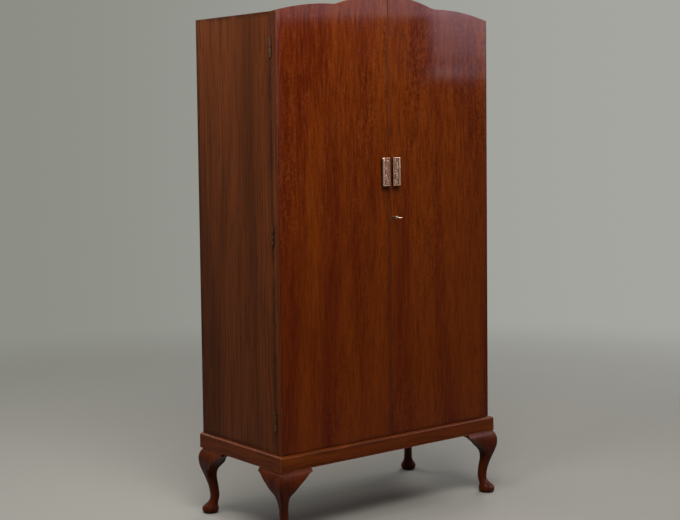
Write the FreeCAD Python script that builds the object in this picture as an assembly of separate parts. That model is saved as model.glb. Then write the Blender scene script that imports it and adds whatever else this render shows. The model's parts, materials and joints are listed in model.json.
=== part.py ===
import FreeCAD, Part

import math
import os

from FreeCAD import Vector

os.makedirs("parts", exist_ok=True)

# A two-door wardrobe of the compactum kind, on a moulded base with four cabriole legs.
# X runs to the right as one faces the doors, Y runs from the doors to the back, Z is up.
# The origin is on the floor, under the middle of everything from the key's bow to the back.

# Overall sizes of the case
case_width = 914.0
case_depth = 463.0
shoulder_height = 1411.0
side_thickness = 19.0
board_thickness = 18.0
back_thickness = 6.0
back_rebate = 9.5
panel_fit = 0.3
overrun = 5.0

# Base: moulded rails, corner blocks and legs
leg_height = 225.0
rail_height = 50.0
rail_thickness = 28.0
rail_projection = 14.0
rail_round = 8.0
block_reach = 100.0
block_height = 45.0
batten_lap = 8.0
batten_height = 18.0
leg_square = 62.0
back_leg_inset = 11.6
dowel_radius = 9.0
dowel_length = 35.0
dowel_offset = 42.0
dowel_fit = 0.1
ear_reach = 122.0
ear_root_height = 90.0
ear_thickness = 32.0
ear_bulge = 13.5

# Doors, and the arched top that they share with the head rail behind them
door_thickness = 26.0
door_gap = 2.0
seam_gap = 2.0
door_lift = 2.0
door_round = 1.2
shoulder_flat = 235.0
shoulder_rise = 31.0
crown_half_chord = 204.0
crown_rise = 37.0
crown_fillet = 110.0
head_rail_thickness = 18.0
head_rail_drop = 70.0
head_rail_below_door = 1.5

# Inside the case
partition_thickness = 16.0
partition_offset = 82.0
shelf_thickness = 14.0
shelf_setback = 20.0
shelf_count = 5
lip_thickness = 8.0
lip_height = 30.0
bearer_width = 12.0
bearer_height = 18.0
hat_space_height = 150.0
hat_shelf_setback = 12.0
rail_tube_radius = 9.5
rail_tube_wall = 1.5
rail_below_hat_shelf = 45.0
socket_radius = 16.0
socket_depth = 12.0
socket_flange_radius = 24.0
socket_flange_thickness = 2.0
socket_floor = 3.0
rail_tube_fit = 0.3
rail_screw_circle = 20.0

# Butt hinges, three on each door
hinge_height_shares = (0.0779, 0.4989, 0.9206)
hinge_length = 60.0
hinge_knuckle_count = 5
hinge_knuckle_gap = 0.2
hinge_barrel_radius = 3.5
hinge_pin_radius = 1.6
hinge_pin_fit = 0.05
hinge_pin_head = 0.8
hinge_stand_off = 0.3
hinge_leaf_width = 16.0
hinge_leaf_thickness = 1.8
hinge_recess_fit = 0.15
hinge_screw_offset = 9.0
hinge_screw_spacing = 22.0

# Countersunk wood screws
screw_head_radius = 2.6
screw_head_depth = 1.4
screw_shank_radius = 1.2
screw_length = 13.0
screw_tip_length = 3.0
screw_tip_radius = 0.3
screw_fit = 0.12
screw_slot_width = 0.6
screw_slot_depth = 0.6

# Pull handles
handle_width = 31.5
handle_height = 94.0
handle_depth = 17.0
handle_from_seam = 6.0
handle_above_keyhole = 107.0
handle_plate_thickness = 4.0
handle_foot_thickness = 2.0
handle_foot_margin = 5.0
handle_waist_width = 16.0
handle_waist_margin = 9.0
handle_rim = 3.5
handle_sink = 1.0
handle_roll_radius = 4.0
handle_roll_rise = 1.5
handle_round = 1.5
handle_screw_spacing = 50.0
handle_screw_radius = 2.0
handle_screw_head_radius = 4.5
handle_screw_head_thickness = 2.2
handle_screw_bite = 7.0

# Lock, key and keeper
keyhole_offset = 18.0
keyhole_height = 1016.0
key_reach = 41.5
key_shank_radius = 2.6
key_bow_radius = 9.5
key_bow_hole_radius = 5.5
key_bow_thickness = 3.0
key_collar_radius = 4.2
key_collar_length = 3.0
key_collar_offset = 17.0
key_bit_reach = 8.0
key_bit_width = 2.4
key_bit_length = 6.0
key_end_gap = 1.0
key_fit = 0.3
lock_width = 40.0
lock_height = 56.0
lock_depth = 13.0
lock_wall = 1.5
lock_fit = 0.2
lock_flange = 7.0
lock_key_share = 0.4
bolt_throw = 10.0
bolt_height = 12.0
bolt_depth = 6.0
bolt_length = 30.0
bolt_fit = 0.3
bolt_over_key = 2.0
bolt_notch_width = 16.0
bolt_inset = 0.4
keeper_length = 30.0
keeper_width = 14.0
keeper_thickness = 1.2
keeper_pocket_fit = 1.0
keeper_pocket_depth = 12.0
keyway_slot_fit = 0.6
escutcheon_height = 22.0
escutcheon_width = 11.0
escutcheon_thickness = 2.0
escutcheon_rise = 0.4
escutcheon_fit = 0.1
escutcheon_drop = 2.5
lock_screw_spacing = 30.0

# Slip bolts at the top and bottom of the left door
slip_from_seam = 20.0
slip_plate_width = 18.0
slip_plate_height = 70.0
slip_plate_thickness = 1.2
slip_rod_radius = 3.0
slip_rod_length = 78.0
slip_rod_stand = 7.0
slip_rod_fit = 0.1
slip_travel = 12.0
slip_end_gap = 1.5
slip_guide_height = 12.0
slip_guide_wall = 2.0
slip_guide_inset = 8.0
slip_knob_radius = 2.5
slip_knob_length = 9.0
slip_screw_inset = 4.0
keeper_plate_length = 30.0
keeper_plate_depth = 14.0
keeper_plate_thickness = 1.2
keeper_hole_fit = 0.8

# Tie rail inside the left door, dressing mirror inside the right door
tie_rail_radius = 3.0
tie_rail_stand = 36.0
tie_rail_length = 300.0
tie_rail_below_shoulder = 286.0
tie_rail_overhang = 8.0
tie_bracket_thickness = 8.0
tie_bracket_width = 12.0
tie_bracket_foot = 34.0
tie_bracket_foot_thickness = 3.0
tie_rail_fit = 0.1
mirror_from_partition = 11.5
mirror_from_side = 88.5
mirror_height = 760.0
mirror_thickness = 4.0
mirror_below_shoulder = 186.0
mirror_round = 6.0
clip_width = 16.0
clip_length = 22.0
clip_thickness = 1.2
clip_overlap = 7.0
clip_fit = 0.15
clip_inset_share = 0.28

# Cabriole leg sections from the top down: depth as a share of the leg's height, the centre line's
# distance in from the two outer faces, the half width, then the rounding of the outer and inner
# corners and the rounding of the two side corners
leg_section_shares = (
    (0.000, 0.516, 0.484, 0.14, 0.14),
    (0.018, 0.492, 0.508, 0.16, 0.16),
    (0.044, 0.458, 0.542, 0.18, 0.18),
    (0.089, 0.427, 0.573, 0.20, 0.20),
    (0.142, 0.402, 0.588, 0.22, 0.22),
    (0.204, 0.381, 0.562, 0.25, 0.26),
    (0.258, 0.332, 0.484, 0.28, 0.32),
    (0.320, 0.293, 0.381, 0.34, 0.42),
    (0.409, 0.313, 0.296, 0.44, 0.70),
    (0.524, 0.393, 0.247, 0.50, 0.92),
    (0.644, 0.458, 0.230, 0.60, 0.92),
    (0.733, 0.480, 0.232, 0.75, 0.90),
    (0.805, 0.443, 0.254, 0.90, 0.92),
    (0.855, 0.371, 0.318, 0.95, 0.95),
    (0.893, 0.318, 0.400, 0.95, 0.95),
    (0.929, 0.298, 0.450, 0.95, 0.95),
    (0.964, 0.298, 0.437, 0.95, 0.95),
    (1.000, 0.298, 0.363, 0.95, 0.95),
)
# Face of the knee as the ears carry it: depth as a share of the ear's root, bulge as a share
ear_face_shares = ((0.0, -0.17), (0.047, 0.08), (0.113, 0.42), (0.227, 0.67), (0.36, 0.83), (0.53, 0.80),
                   (0.667, 0.62), (0.8, 0.20), (0.91, -0.38), (1.0, -0.95))
# Lower edge of an ear from its tip to the leg: reach and height as shares of the two ear sizes
ear_edge_shares = ((1.0, 0.12), (0.90, 0.167), (0.73, 0.333), (0.57, 0.50), (0.445, 0.667), (0.365, 0.80),
                   (0.325, 0.92), (0.305, 1.0))


# Places worked out from the sizes
door_face_y = (key_reach - case_depth) / 2
door_back_y = door_face_y + door_thickness
case_front_y = door_back_y + door_gap
back_y = door_face_y + case_depth
back_panel_y = back_y - back_thickness
half_width = case_width / 2
inner_half = half_width - side_thickness
base_z = leg_height
case_z = leg_height + rail_height
shoulder_z = case_z + shoulder_height
floor_top_z = case_z + board_thickness
ceiling_z = shoulder_z - board_thickness
door_bottom_z = case_z + door_lift
head_rail_bottom_z = shoulder_z - head_rail_drop
base_half = half_width + rail_projection
base_front_y = door_face_y - rail_projection
hinge_x = half_width + hinge_stand_off + hinge_barrel_radius
hinge_y = door_back_y + door_gap / 2
hinge_heights = [case_z + share * shoulder_height for share in hinge_height_shares]
handle_centre_height = keyhole_height + handle_above_keyhole + handle_height / 2
tie_rail_height = shoulder_z - tie_rail_below_shoulder
mirror_centre_height = shoulder_z - mirror_below_shoulder - mirror_height / 2


# Small helpers
def block(x0, x1, y0, y1, z0, z1):
    return Part.makeBox(x1 - x0, y1 - y0, z1 - z0, Vector(x0, y0, z0))


def bar(start, direction, length, radius):
    return Part.makeCylinder(radius, length, start, direction)


def mirrored(shape):
    return shape.mirror(Vector(0, 0, 0), Vector(1, 0, 0))


def face_of(edges):
    return Part.Face(Part.Wire(Part.__sortEdges__(edges)))


def polygon_face(points):
    return Part.Face(Part.makePolygon(points + [points[0]]))


def save(node, solids):
    group = solids if isinstance(solids, list) else [solids]
    parts = []
    for solid in group:
        parts.extend(solid.Solids)
    shape = parts[0] if len(parts) == 1 else Part.makeCompound(parts)
    if not shape.isValid():
        print("not valid:", node)
    shape.exportStep("parts/" + node + ".step")
    print(node, len(parts), "solids", round(shape.Volume / 1000, 1), "cm3")


def round_edges(shape, radius, wanted):
    edges = [edge for edge in shape.Edges if wanted(edge)]
    return shape.makeFillet(radius, edges)


def at_y(edge, y):
    return all(abs(vertex.Point.y - y) < panel_fit for vertex in edge.Vertexes)


# Screws: a screw lies along +Z from its head's face at the origin, then is turned and moved
def screw_form(clearance):
    head = Part.makeCone(screw_head_radius + clearance, screw_shank_radius + clearance, screw_head_depth)
    shank = Part.makeCylinder(screw_shank_radius + clearance, screw_length - screw_tip_length)
    tip_base = Vector(0, 0, screw_length - screw_tip_length)
    tip = Part.makeCone(screw_shank_radius + clearance, screw_tip_radius + clearance,
                        screw_tip_length, tip_base)
    return head.fuse(shank).fuse(tip)


def placed(shape, point, direction):
    turned = shape.copy()
    turned.Placement = FreeCAD.Placement(point, FreeCAD.Rotation(Vector(0, 0, 1), direction))
    return turned


def screw_and_hole(point, direction):
    slot = block(-screw_head_radius, screw_head_radius, -screw_slot_width / 2, screw_slot_width / 2,
                 -screw_slot_depth, screw_slot_depth)
    screw = screw_form(0).cut(slot)
    return placed(screw, point, direction), placed(screw_form(screw_fit), point, direction)


def screws_and_holes(points, direction):
    pairs = [screw_and_hole(point, direction) for point in points]
    return [pair[0] for pair in pairs], [pair[1] for pair in pairs]


def cut_all(shape, cutters):
    for cutter in cutters:
        shape = shape.cut(cutter)
    return shape


# The arched top: a shoulder that falls to the side, a short flat, and a raised crown
def arch_half_edges(drop):
    top = shoulder_z - drop
    flat_z = top + shoulder_rise
    run = half_width - shoulder_flat
    shoulder_radius = (run ** 2 + shoulder_rise ** 2) / (2 * shoulder_rise)
    crown_radius = (crown_half_chord ** 2 + crown_rise ** 2) / (2 * crown_rise)
    crown_centre_z = flat_z + crown_rise - crown_radius
    fillet_z = flat_z + crown_fillet
    reach = crown_radius + crown_fillet
    fillet_x = math.sqrt(reach ** 2 - (fillet_z - crown_centre_z) ** 2)

    def on_shoulder(x):
        return flat_z - shoulder_radius + math.sqrt(shoulder_radius ** 2 - (x - shoulder_flat) ** 2)

    def on_crown(angle):
        return Vector(crown_radius * math.sin(angle), 0, crown_centre_z + crown_radius * math.cos(angle))

    lean = math.asin(fillet_x / reach)
    fillet_middle = Vector(fillet_x - crown_fillet * math.sin(lean / 2), 0,
                           fillet_z - crown_fillet * math.cos(lean / 2))
    end = Vector(half_width, 0, top)
    shoulder_x = (half_width + shoulder_flat) / 2
    shoulder_middle = Vector(shoulder_x, 0, on_shoulder(shoulder_x))
    flat_start = Vector(shoulder_flat, 0, flat_z)
    flat_end = Vector(fillet_x, 0, flat_z)
    return [
        Part.Arc(end, shoulder_middle, flat_start).toShape(),
        Part.LineSegment(flat_start, flat_end).toShape(),
        Part.Arc(flat_end, fillet_middle, on_crown(lean)).toShape(),
        Part.Arc(on_crown(lean), on_crown(lean / 2), on_crown(0)).toShape(),
    ]


def arched_half(bottom_z, drop, front_y, thickness):
    edges = arch_half_edges(drop)
    top_end = Vector(half_width, 0, shoulder_z - drop)
    low_end = Vector(half_width, 0, bottom_z)
    low_middle = Vector(0, 0, bottom_z)
    top_middle = Vector(0, 0, shoulder_z - drop + shoulder_rise + crown_rise)
    edges.append(Part.LineSegment(top_middle, low_middle).toShape())
    edges.append(Part.LineSegment(low_middle, low_end).toShape())
    edges.append(Part.LineSegment(low_end, top_end).toShape())
    slab = face_of(edges).extrude(Vector(0, thickness, 0))
    slab.translate(Vector(0, front_y, 0))
    return slab


def arched_head_rail():
    half = arched_half(head_rail_bottom_z, head_rail_below_door, case_front_y, head_rail_thickness)
    room = block(-overrun, inner_half, case_front_y - overrun, head_rail_back_y + overrun,
                 head_rail_bottom_z - overrun, shoulder_z + shoulder_rise + crown_rise + overrun)
    half = half.common(room)
    return half.fuse(mirrored(half)).removeSplitter()


# Case: sides, boards, back and partition
def side_panel(hinge_cutters, other_cutters):
    panel = block(inner_half, half_width, case_front_y, back_y, case_z, shoulder_z)
    rebate = block(inner_half - overrun, inner_half + back_rebate, back_panel_y, back_y + overrun,
                   case_z - overrun, shoulder_z + overrun)
    return cut_all(panel.cut(rebate), hinge_cutters + other_cutters)


head_rail_back_y = case_front_y + head_rail_thickness
partition_right = partition_offset + partition_thickness
hat_shelf_top = ceiling_z - hat_space_height
hat_shelf_bottom = hat_shelf_top - shelf_thickness
rail_z = hat_shelf_bottom - rail_below_hat_shelf
rail_y = (case_front_y + back_panel_y) / 2
shelf_space = (ceiling_z - floor_top_z - shelf_count * shelf_thickness) / (shelf_count + 1)
shelf_bottoms = [floor_top_z + shelf_space * (i + 1) + shelf_thickness * i for i in range(shelf_count)]
shelf_front_y = case_front_y + shelf_setback

top_board = block(-inner_half, inner_half, head_rail_back_y, back_panel_y, ceiling_z, shoulder_z)
back_panel = block(-inner_half - back_rebate + panel_fit, inner_half + back_rebate - panel_fit,
                   back_panel_y, back_y, case_z, shoulder_z)
partition_body = block(partition_offset, partition_right, case_front_y, back_panel_y, floor_top_z, ceiling_z)
partition_notch = block(partition_offset - overrun, partition_right + overrun, case_front_y - overrun,
                        head_rail_back_y, head_rail_bottom_z, ceiling_z + overrun)
partition = partition_body.cut(partition_notch)


# Shelves, their lips and the bearers under them
def shelf(bottom):
    return block(partition_right, inner_half, shelf_front_y, back_panel_y, bottom, bottom + shelf_thickness)


def shelf_lip(bottom):
    return block(partition_right, inner_half, shelf_front_y - lip_thickness, shelf_front_y,
                 bottom, bottom + lip_height)


def bearer(x0, front_y, top):
    return block(x0, x0 + bearer_width, front_y, back_panel_y, top - bearer_height, top)


hat_front_y = head_rail_back_y + hat_shelf_setback
hat_shelf = block(-inner_half, partition_offset, hat_front_y, back_panel_y, hat_shelf_bottom, hat_shelf_top)
shelf_bearers = []
for shelf_bottom in shelf_bottoms:
    shelf_bearers.append(bearer(partition_right, shelf_front_y, shelf_bottom))
    shelf_bearers.append(bearer(inner_half - bearer_width, shelf_front_y, shelf_bottom))
shelf_bearers.append(bearer(-inner_half, hat_front_y, hat_shelf_bottom))
shelf_bearers.append(bearer(partition_offset - bearer_width, hat_front_y, hat_shelf_bottom))


# Hanging rail: a brass tube in two flanged sockets
def rail_socket(wall_x, inward):
    axis = Vector(inward, 0, 0)
    centre = Vector(wall_x, rail_y, rail_z)
    flange = bar(centre, axis, socket_flange_thickness, socket_flange_radius)
    cup = bar(centre, axis, socket_depth, socket_radius)
    floor_point = Vector(wall_x + inward * socket_floor, rail_y, rail_z)
    bore = bar(floor_point, axis, socket_depth, rail_tube_radius + rail_tube_fit)
    points = []
    for side in (-1, 1):
        points.append(Vector(wall_x + inward * socket_flange_thickness, rail_y,
                             rail_z + side * rail_screw_circle))
    screws, holes = screws_and_holes(points, Vector(-inward, 0, 0))
    return cut_all(flange.fuse(cup).cut(bore), holes), screws, holes


left_socket, left_socket_screws, left_socket_holes = rail_socket(-inner_half, 1)
right_socket, right_socket_screws, right_socket_holes = rail_socket(partition_offset, -1)
rail_start = -inner_half + socket_floor + rail_tube_fit
rail_end = partition_offset - socket_floor - rail_tube_fit
rail_origin = Vector(rail_start, rail_y, rail_z)
rail_axis = Vector(1, 0, 0)
rail_length = rail_end - rail_start
rail_bore = bar(rail_origin, rail_axis, rail_length, rail_tube_radius - rail_tube_wall)
hanging_rail = bar(rail_origin, rail_axis, rail_length, rail_tube_radius).cut(rail_bore)
partition = cut_all(partition, right_socket_holes)


# Base rails: one section with a rounded top edge, mitred at the front corners
def rail_section_solid(length):
    # Runs along X from zero, outer face at y = 0 and body towards +y, standing on z = 0
    outer_low = Vector(0, 0, 0)
    outer_high = Vector(0, 0, rail_height - rail_round)
    curve_middle = Vector(0, rail_round * (1 - math.cos(math.pi / 4)),
                          rail_height - rail_round * (1 - math.sin(math.pi / 4)))
    top_outer = Vector(0, rail_round, rail_height)
    top_inner = Vector(0, rail_thickness, rail_height)
    inner_low = Vector(0, rail_thickness, 0)
    edges = [
        Part.LineSegment(outer_low, outer_high).toShape(),
        Part.Arc(outer_high, curve_middle, top_outer).toShape(),
        Part.LineSegment(top_outer, top_inner).toShape(),
        Part.LineSegment(top_inner, inner_low).toShape(),
        Part.LineSegment(inner_low, outer_low).toShape(),
    ]
    return face_of(edges).extrude(Vector(length, 0, 0))


def front_rail():
    length = 2 * base_half
    rail = rail_section_solid(length)
    plan = polygon_face([Vector(0, 0, 0), Vector(length, 0, 0),
                         Vector(length - rail_thickness, rail_thickness, 0),
                         Vector(rail_thickness, rail_thickness, 0)])
    rail = rail.common(plan.extrude(Vector(0, 0, rail_height)))
    rail.translate(Vector(-base_half, base_front_y, base_z))
    return rail


def right_side_rail():
    length = back_y - base_front_y
    rail = rail_section_solid(length)
    plan = polygon_face([Vector(0, 0, 0), Vector(length, 0, 0), Vector(length, rail_thickness, 0),
                         Vector(rail_thickness, rail_thickness, 0)])
    rail = rail.common(plan.extrude(Vector(0, 0, rail_height)))
    rail.rotate(Vector(0, 0, 0), Vector(0, 0, 1), 90)
    rail.translate(Vector(base_half, base_front_y, base_z))
    return rail


inner_base_half = base_half - rail_thickness
back_rail = block(-inner_base_half, inner_base_half, back_y - rail_thickness, back_y, base_z, case_z)


# Legs and ears are shaped about a corner: u runs in from the side face, v in from the front face
def rounded_square(centre, half, rounding, side_rounding, z):
    low = centre - half
    high = centre + half
    edges = []
    corners = ((low, low, 1, 1, rounding), (high, low, -1, 1, side_rounding),
               (high, high, -1, -1, rounding), (low, high, 1, -1, side_rounding))
    ends = []
    for u, v, su, sv, share in corners:
        radius = half * share
        bow = radius * (1 - math.cos(math.pi / 4))
        along_v = Vector(u, v + sv * radius, z)
        along_u = Vector(u + su * radius, v, z)
        middle = Vector(u + su * bow, v + sv * bow, z)
        ends.append((along_v, middle, along_u))
    order = ((0, 0, 2), (1, 2, 0), (2, 0, 2), (3, 2, 0))
    turned = [(ends[i][a], ends[i][1], ends[i][b]) for i, a, b in order]
    for i in range(4):
        start, middle, end = turned[i]
        following = turned[(i + 1) % 4][0]
        edges.append(Part.Arc(start, middle, end).toShape())
        edges.append(Part.LineSegment(end, following).toShape())
    return Part.Wire(edges)


def leg_form():
    wires = []
    for depth_share, centre_share, half_share, rounding_share, side_rounding_share in leg_section_shares:
        z = base_z - depth_share * leg_height
        wires.append(rounded_square(centre_share * leg_square, half_share * leg_square,
                                    rounding_share, side_rounding_share, z))
    body = Part.makeLoft(wires, True, False)
    dowel = bar(Vector(dowel_offset, dowel_offset, base_z), Vector(0, 0, 1), dowel_length, dowel_radius)
    return body.fuse(dowel)


def ear_form():
    edge_points = []
    for reach_share, height_share in ear_edge_shares:
        edge_points.append(Vector(ear_reach * reach_share, 0, base_z - ear_root_height * height_share))
    lower = Part.BSplineCurve()
    lower.interpolate(edge_points)
    tip_top = Vector(ear_reach, 0, base_z)
    root_top = Vector(edge_points[-1].x, 0, base_z)
    outline = face_of([
        lower.toShape(),
        Part.LineSegment(edge_points[-1], root_top).toShape(),
        Part.LineSegment(root_top, tip_top).toShape(),
        Part.LineSegment(tip_top, edge_points[0]).toShape(),
    ])
    outline.translate(Vector(0, -ear_bulge, 0))
    front_view = outline.extrude(Vector(0, ear_bulge + ear_thickness, 0))
    face_points = []
    for height_share, bulge_share in ear_face_shares:
        face_points.append(Vector(0, -ear_bulge * bulge_share, base_z - ear_root_height * height_share))
    face_curve = Part.BSplineCurve()
    face_curve.interpolate(face_points)
    back_top = Vector(0, ear_thickness, base_z)
    back_low = Vector(0, ear_thickness, base_z - ear_root_height)
    side = face_of([
        face_curve.toShape(),
        Part.LineSegment(face_points[-1], back_low).toShape(),
        Part.LineSegment(back_low, back_top).toShape(),
        Part.LineSegment(back_top, face_points[0]).toShape(),
    ])
    side_view = side.extrude(Vector(ear_reach + overrun, 0, 0))
    return front_view.common(side_view)


def swapped(shape):
    return shape.mirror(Vector(0, 0, 0), Vector(1, -1, 0))


def to_corner(shape, side, end):
    # side is -1 for left and 1 for right, end is -1 for front and 1 for back
    moved = shape.copy()
    if side > 0:
        moved = moved.mirror(Vector(0, 0, 0), Vector(1, 0, 0))
    if end > 0:
        moved = moved.mirror(Vector(0, 0, 0), Vector(0, 1, 0))
    corner_y = back_y - back_leg_inset if end > 0 else base_front_y
    moved.translate(Vector(side * base_half, corner_y, 0))
    return moved


def corner_block_blank(end):
    inset = back_leg_inset if end > 0 else 0
    start = rail_thickness
    plan = polygon_face([Vector(start, start - inset, base_z), Vector(block_reach, start - inset, base_z),
                         Vector(start, block_reach - inset, base_z)])
    return plan.extrude(Vector(0, 0, block_height))


def corner_block(side, end):
    bore = bar(Vector(dowel_offset, dowel_offset, base_z), Vector(0, 0, 1), dowel_length + panel_fit,
               dowel_radius + dowel_fit)
    return to_corner(corner_block_blank(end).cut(bore), side, end)


def front_batten():
    # Glued behind the front rail and under the bottom board, notched over the two front corner blocks
    batten = block(-inner_base_half, inner_base_half, base_front_y + rail_thickness, case_front_y + batten_lap,
                   case_z - batten_height, case_z)
    return cut_all(batten, [to_corner(corner_block_blank(-1), side, -1) for side in (-1, 1)])


leg = leg_form()
ear_along_front = ear_form().cut(leg)
ear_along_front = max(ear_along_front.Solids, key=lambda solid: solid.Volume)
ear_along_side = swapped(ear_along_front)


# Hinges: leaves let into the door's back and the side's front edge, barrel outside the case
def knuckle_bounds(index, centre_z):
    pitch = hinge_length / hinge_knuckle_count
    low = centre_z - hinge_length / 2 + index * pitch
    trim = hinge_knuckle_gap / 2
    return low + trim, low + pitch - trim


def hinge_leaf(centre_z, plate_low_y, indices, cutters):
    plate = block(half_width - hinge_leaf_width, half_width, plate_low_y, plate_low_y + hinge_leaf_thickness,
                  centre_z - hinge_length / 2, centre_z + hinge_length / 2)
    for index in indices:
        low, high = knuckle_bounds(index, centre_z)
        bridge = block(half_width, hinge_x, plate_low_y, plate_low_y + hinge_leaf_thickness, low, high)
        barrel = bar(Vector(hinge_x, hinge_y, low), Vector(0, 0, 1), high - low, hinge_barrel_radius)
        plate = plate.fuse(bridge).fuse(barrel)
    bore = bar(Vector(hinge_x, hinge_y, centre_z - hinge_length), Vector(0, 0, 1), 2 * hinge_length,
               hinge_pin_radius + hinge_pin_fit)
    return cut_all(plate.cut(bore), cutters)


def hinge_recess(centre_z, plate_low_y, plate_high_y):
    return block(half_width - hinge_leaf_width - hinge_recess_fit, half_width + overrun,
                 plate_low_y, plate_high_y, centre_z - hinge_length / 2 - hinge_recess_fit,
                 centre_z + hinge_length / 2 + hinge_recess_fit)


def hinge_pin(centre_z):
    half = hinge_length / 2
    pin = bar(Vector(hinge_x, hinge_y, centre_z - half), Vector(0, 0, 1), hinge_length, hinge_pin_radius)
    for end_z, way in ((centre_z - half, -1), (centre_z + half, 1)):
        head = bar(Vector(hinge_x, hinge_y, end_z), Vector(0, 0, way), hinge_pin_head, hinge_barrel_radius)
        pin = pin.fuse(head)
    return pin


def hinge_screw_points(centre_z, y):
    return [Vector(half_width - hinge_screw_offset, y, centre_z + step * hinge_screw_spacing)
            for step in (-1, 0, 1)]


case_leaves = []
case_leaf_screws = []
side_cutters = []
door_leaves = []
door_leaf_screws = []
door_hinge_cutters = []
hinge_pins = []
case_knuckles = range(0, hinge_knuckle_count, 2)
door_knuckles = range(1, hinge_knuckle_count, 2)
for hinge_z in hinge_heights:
    back_screws, back_holes = screws_and_holes(hinge_screw_points(hinge_z, case_front_y), Vector(0, 1, 0))
    case_leaves.append(hinge_leaf(hinge_z, case_front_y, case_knuckles, back_holes))
    case_leaf_screws.extend(back_screws)
    side_cutters.append(hinge_recess(hinge_z, case_front_y - overrun, case_front_y + hinge_leaf_thickness))
    side_cutters.extend(back_holes)
    front_screws, front_holes = screws_and_holes(hinge_screw_points(hinge_z, door_back_y), Vector(0, -1, 0))
    door_leaves.append(hinge_leaf(hinge_z, door_back_y - hinge_leaf_thickness, door_knuckles, front_holes))
    door_leaf_screws.extend(front_screws)
    door_hinge_cutters.append(hinge_recess(hinge_z, door_back_y - hinge_leaf_thickness,
                                           door_back_y + overrun))
    door_hinge_cutters.extend(front_holes)
    hinge_pins.append(hinge_pin(hinge_z))


# Pull handle for the right door: a sunk front plate with a rolled outer edge, on a waist and a foot
def handle_slab(width, height, near_y, far_y):
    centre_x = seam_gap / 2 + handle_from_seam + handle_width / 2
    return block(centre_x - width / 2, centre_x + width / 2, near_y, far_y,
                 handle_centre_height - height / 2, handle_centre_height + height / 2)


def pull_handle(cutters):
    front_y = door_face_y - handle_depth
    plate_front_y = front_y + handle_roll_rise
    plate_back_y = plate_front_y + handle_plate_thickness
    foot_front_y = door_face_y - handle_foot_thickness
    plate = handle_slab(handle_width, handle_height, plate_front_y, plate_back_y)
    plate = round_edges(plate, handle_round, lambda edge: at_y(edge, plate_front_y))
    sunk = handle_slab(handle_width - 2 * handle_rim, handle_height - 2 * handle_rim,
                       front_y - overrun, plate_front_y + handle_sink)
    waist = handle_slab(handle_waist_width, handle_height - 2 * handle_waist_margin,
                        plate_back_y, foot_front_y)
    foot = handle_slab(handle_width - 2 * handle_foot_margin, handle_height - 2 * handle_foot_margin,
                       foot_front_y, door_face_y)
    roll_x = seam_gap / 2 + handle_from_seam + handle_width - handle_roll_radius
    roll_low = Vector(roll_x, front_y + handle_roll_radius, handle_centre_height - handle_height / 2)
    roll = bar(roll_low, Vector(0, 0, 1), handle_height, handle_roll_radius)
    body = plate.cut(sunk).fuse(waist).fuse(foot).fuse(roll)
    return cut_all(body, cutters)


def handle_screws():
    centre_x = seam_gap / 2 + handle_from_seam + handle_width / 2
    tip_y = door_face_y - handle_screw_bite
    shank_length = door_back_y - tip_y
    head_half = handle_screw_head_thickness / 2
    inward = Vector(0, 1, 0)
    screws = []
    holes = []
    for side in (-1, 1):
        z = handle_centre_height + side * handle_screw_spacing / 2
        shank = bar(Vector(centre_x, tip_y, z), inward, shank_length, handle_screw_radius)
        head = bar(Vector(centre_x, door_back_y, z), inward, head_half, handle_screw_head_radius)
        dome = Part.makeCone(handle_screw_head_radius, handle_screw_radius, head_half,
                             Vector(centre_x, door_back_y + head_half, z), inward)
        slot_y = door_back_y + handle_screw_head_thickness
        slot = block(centre_x - handle_screw_head_radius, centre_x + handle_screw_head_radius,
                     slot_y - screw_slot_depth, slot_y + overrun,
                     z - screw_slot_width / 2, z + screw_slot_width / 2)
        screws.append(shank.fuse(head).fuse(dome).cut(slot))
        holes.append(bar(Vector(centre_x, tip_y - screw_fit, z), inward, shank_length + 2 * screw_fit,
                         handle_screw_radius + screw_fit))
    return screws, holes


right_handle_screws, handle_holes = handle_screws()
right_handle = pull_handle(handle_holes)


# Lock in the right door: an open-sided case let into the back, with its bolt and key
keyhole_x = seam_gap / 2 + keyhole_offset
door_edge_x = seam_gap / 2
lock_back_y = door_back_y
lock_front_y = door_back_y - lock_depth
lock_low_z = keyhole_height - lock_height * lock_key_share
lock_high_z = lock_low_z + lock_height
bolt_low_z = keyhole_height + key_shank_radius + bolt_over_key
bolt_high_z = bolt_low_z + bolt_height
bolt_front_y = (lock_front_y + lock_back_y - bolt_depth) / 2
bolt_back_y = bolt_front_y + bolt_depth
bolt_start_x = door_edge_x + bolt_inset
key_axis = Vector(0, 1, 0)


def lock_case_solid(cutters):
    body = block(door_edge_x, door_edge_x + lock_width, lock_front_y, lock_back_y, lock_low_z, lock_high_z)
    hollow = block(door_edge_x + lock_wall, door_edge_x + lock_width - lock_wall, lock_front_y + lock_wall,
                   lock_back_y - lock_wall, lock_low_z + lock_wall, lock_high_z - lock_wall)
    flange = block(door_edge_x, door_edge_x + lock_width, lock_back_y - lock_wall, lock_back_y,
                   lock_low_z - lock_flange, lock_high_z + lock_flange)
    mouth = block(door_edge_x - overrun, door_edge_x + lock_wall + overrun, bolt_front_y - bolt_fit,
                  bolt_back_y + bolt_fit, bolt_low_z - bolt_fit, bolt_high_z + bolt_fit)
    case_keyway = keyway(lock_front_y - overrun, bolt_front_y)
    return cut_all(body.fuse(flange).cut(hollow).cut(mouth).cut(case_keyway), cutters)


def lock_screw_points():
    points = []
    for z in (lock_low_z - lock_flange / 2, lock_high_z + lock_flange / 2):
        for side in (-1, 1):
            x = door_edge_x + lock_width / 2 + side * lock_screw_spacing / 2
            points.append(Vector(x, door_back_y, z))
    return points


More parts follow.
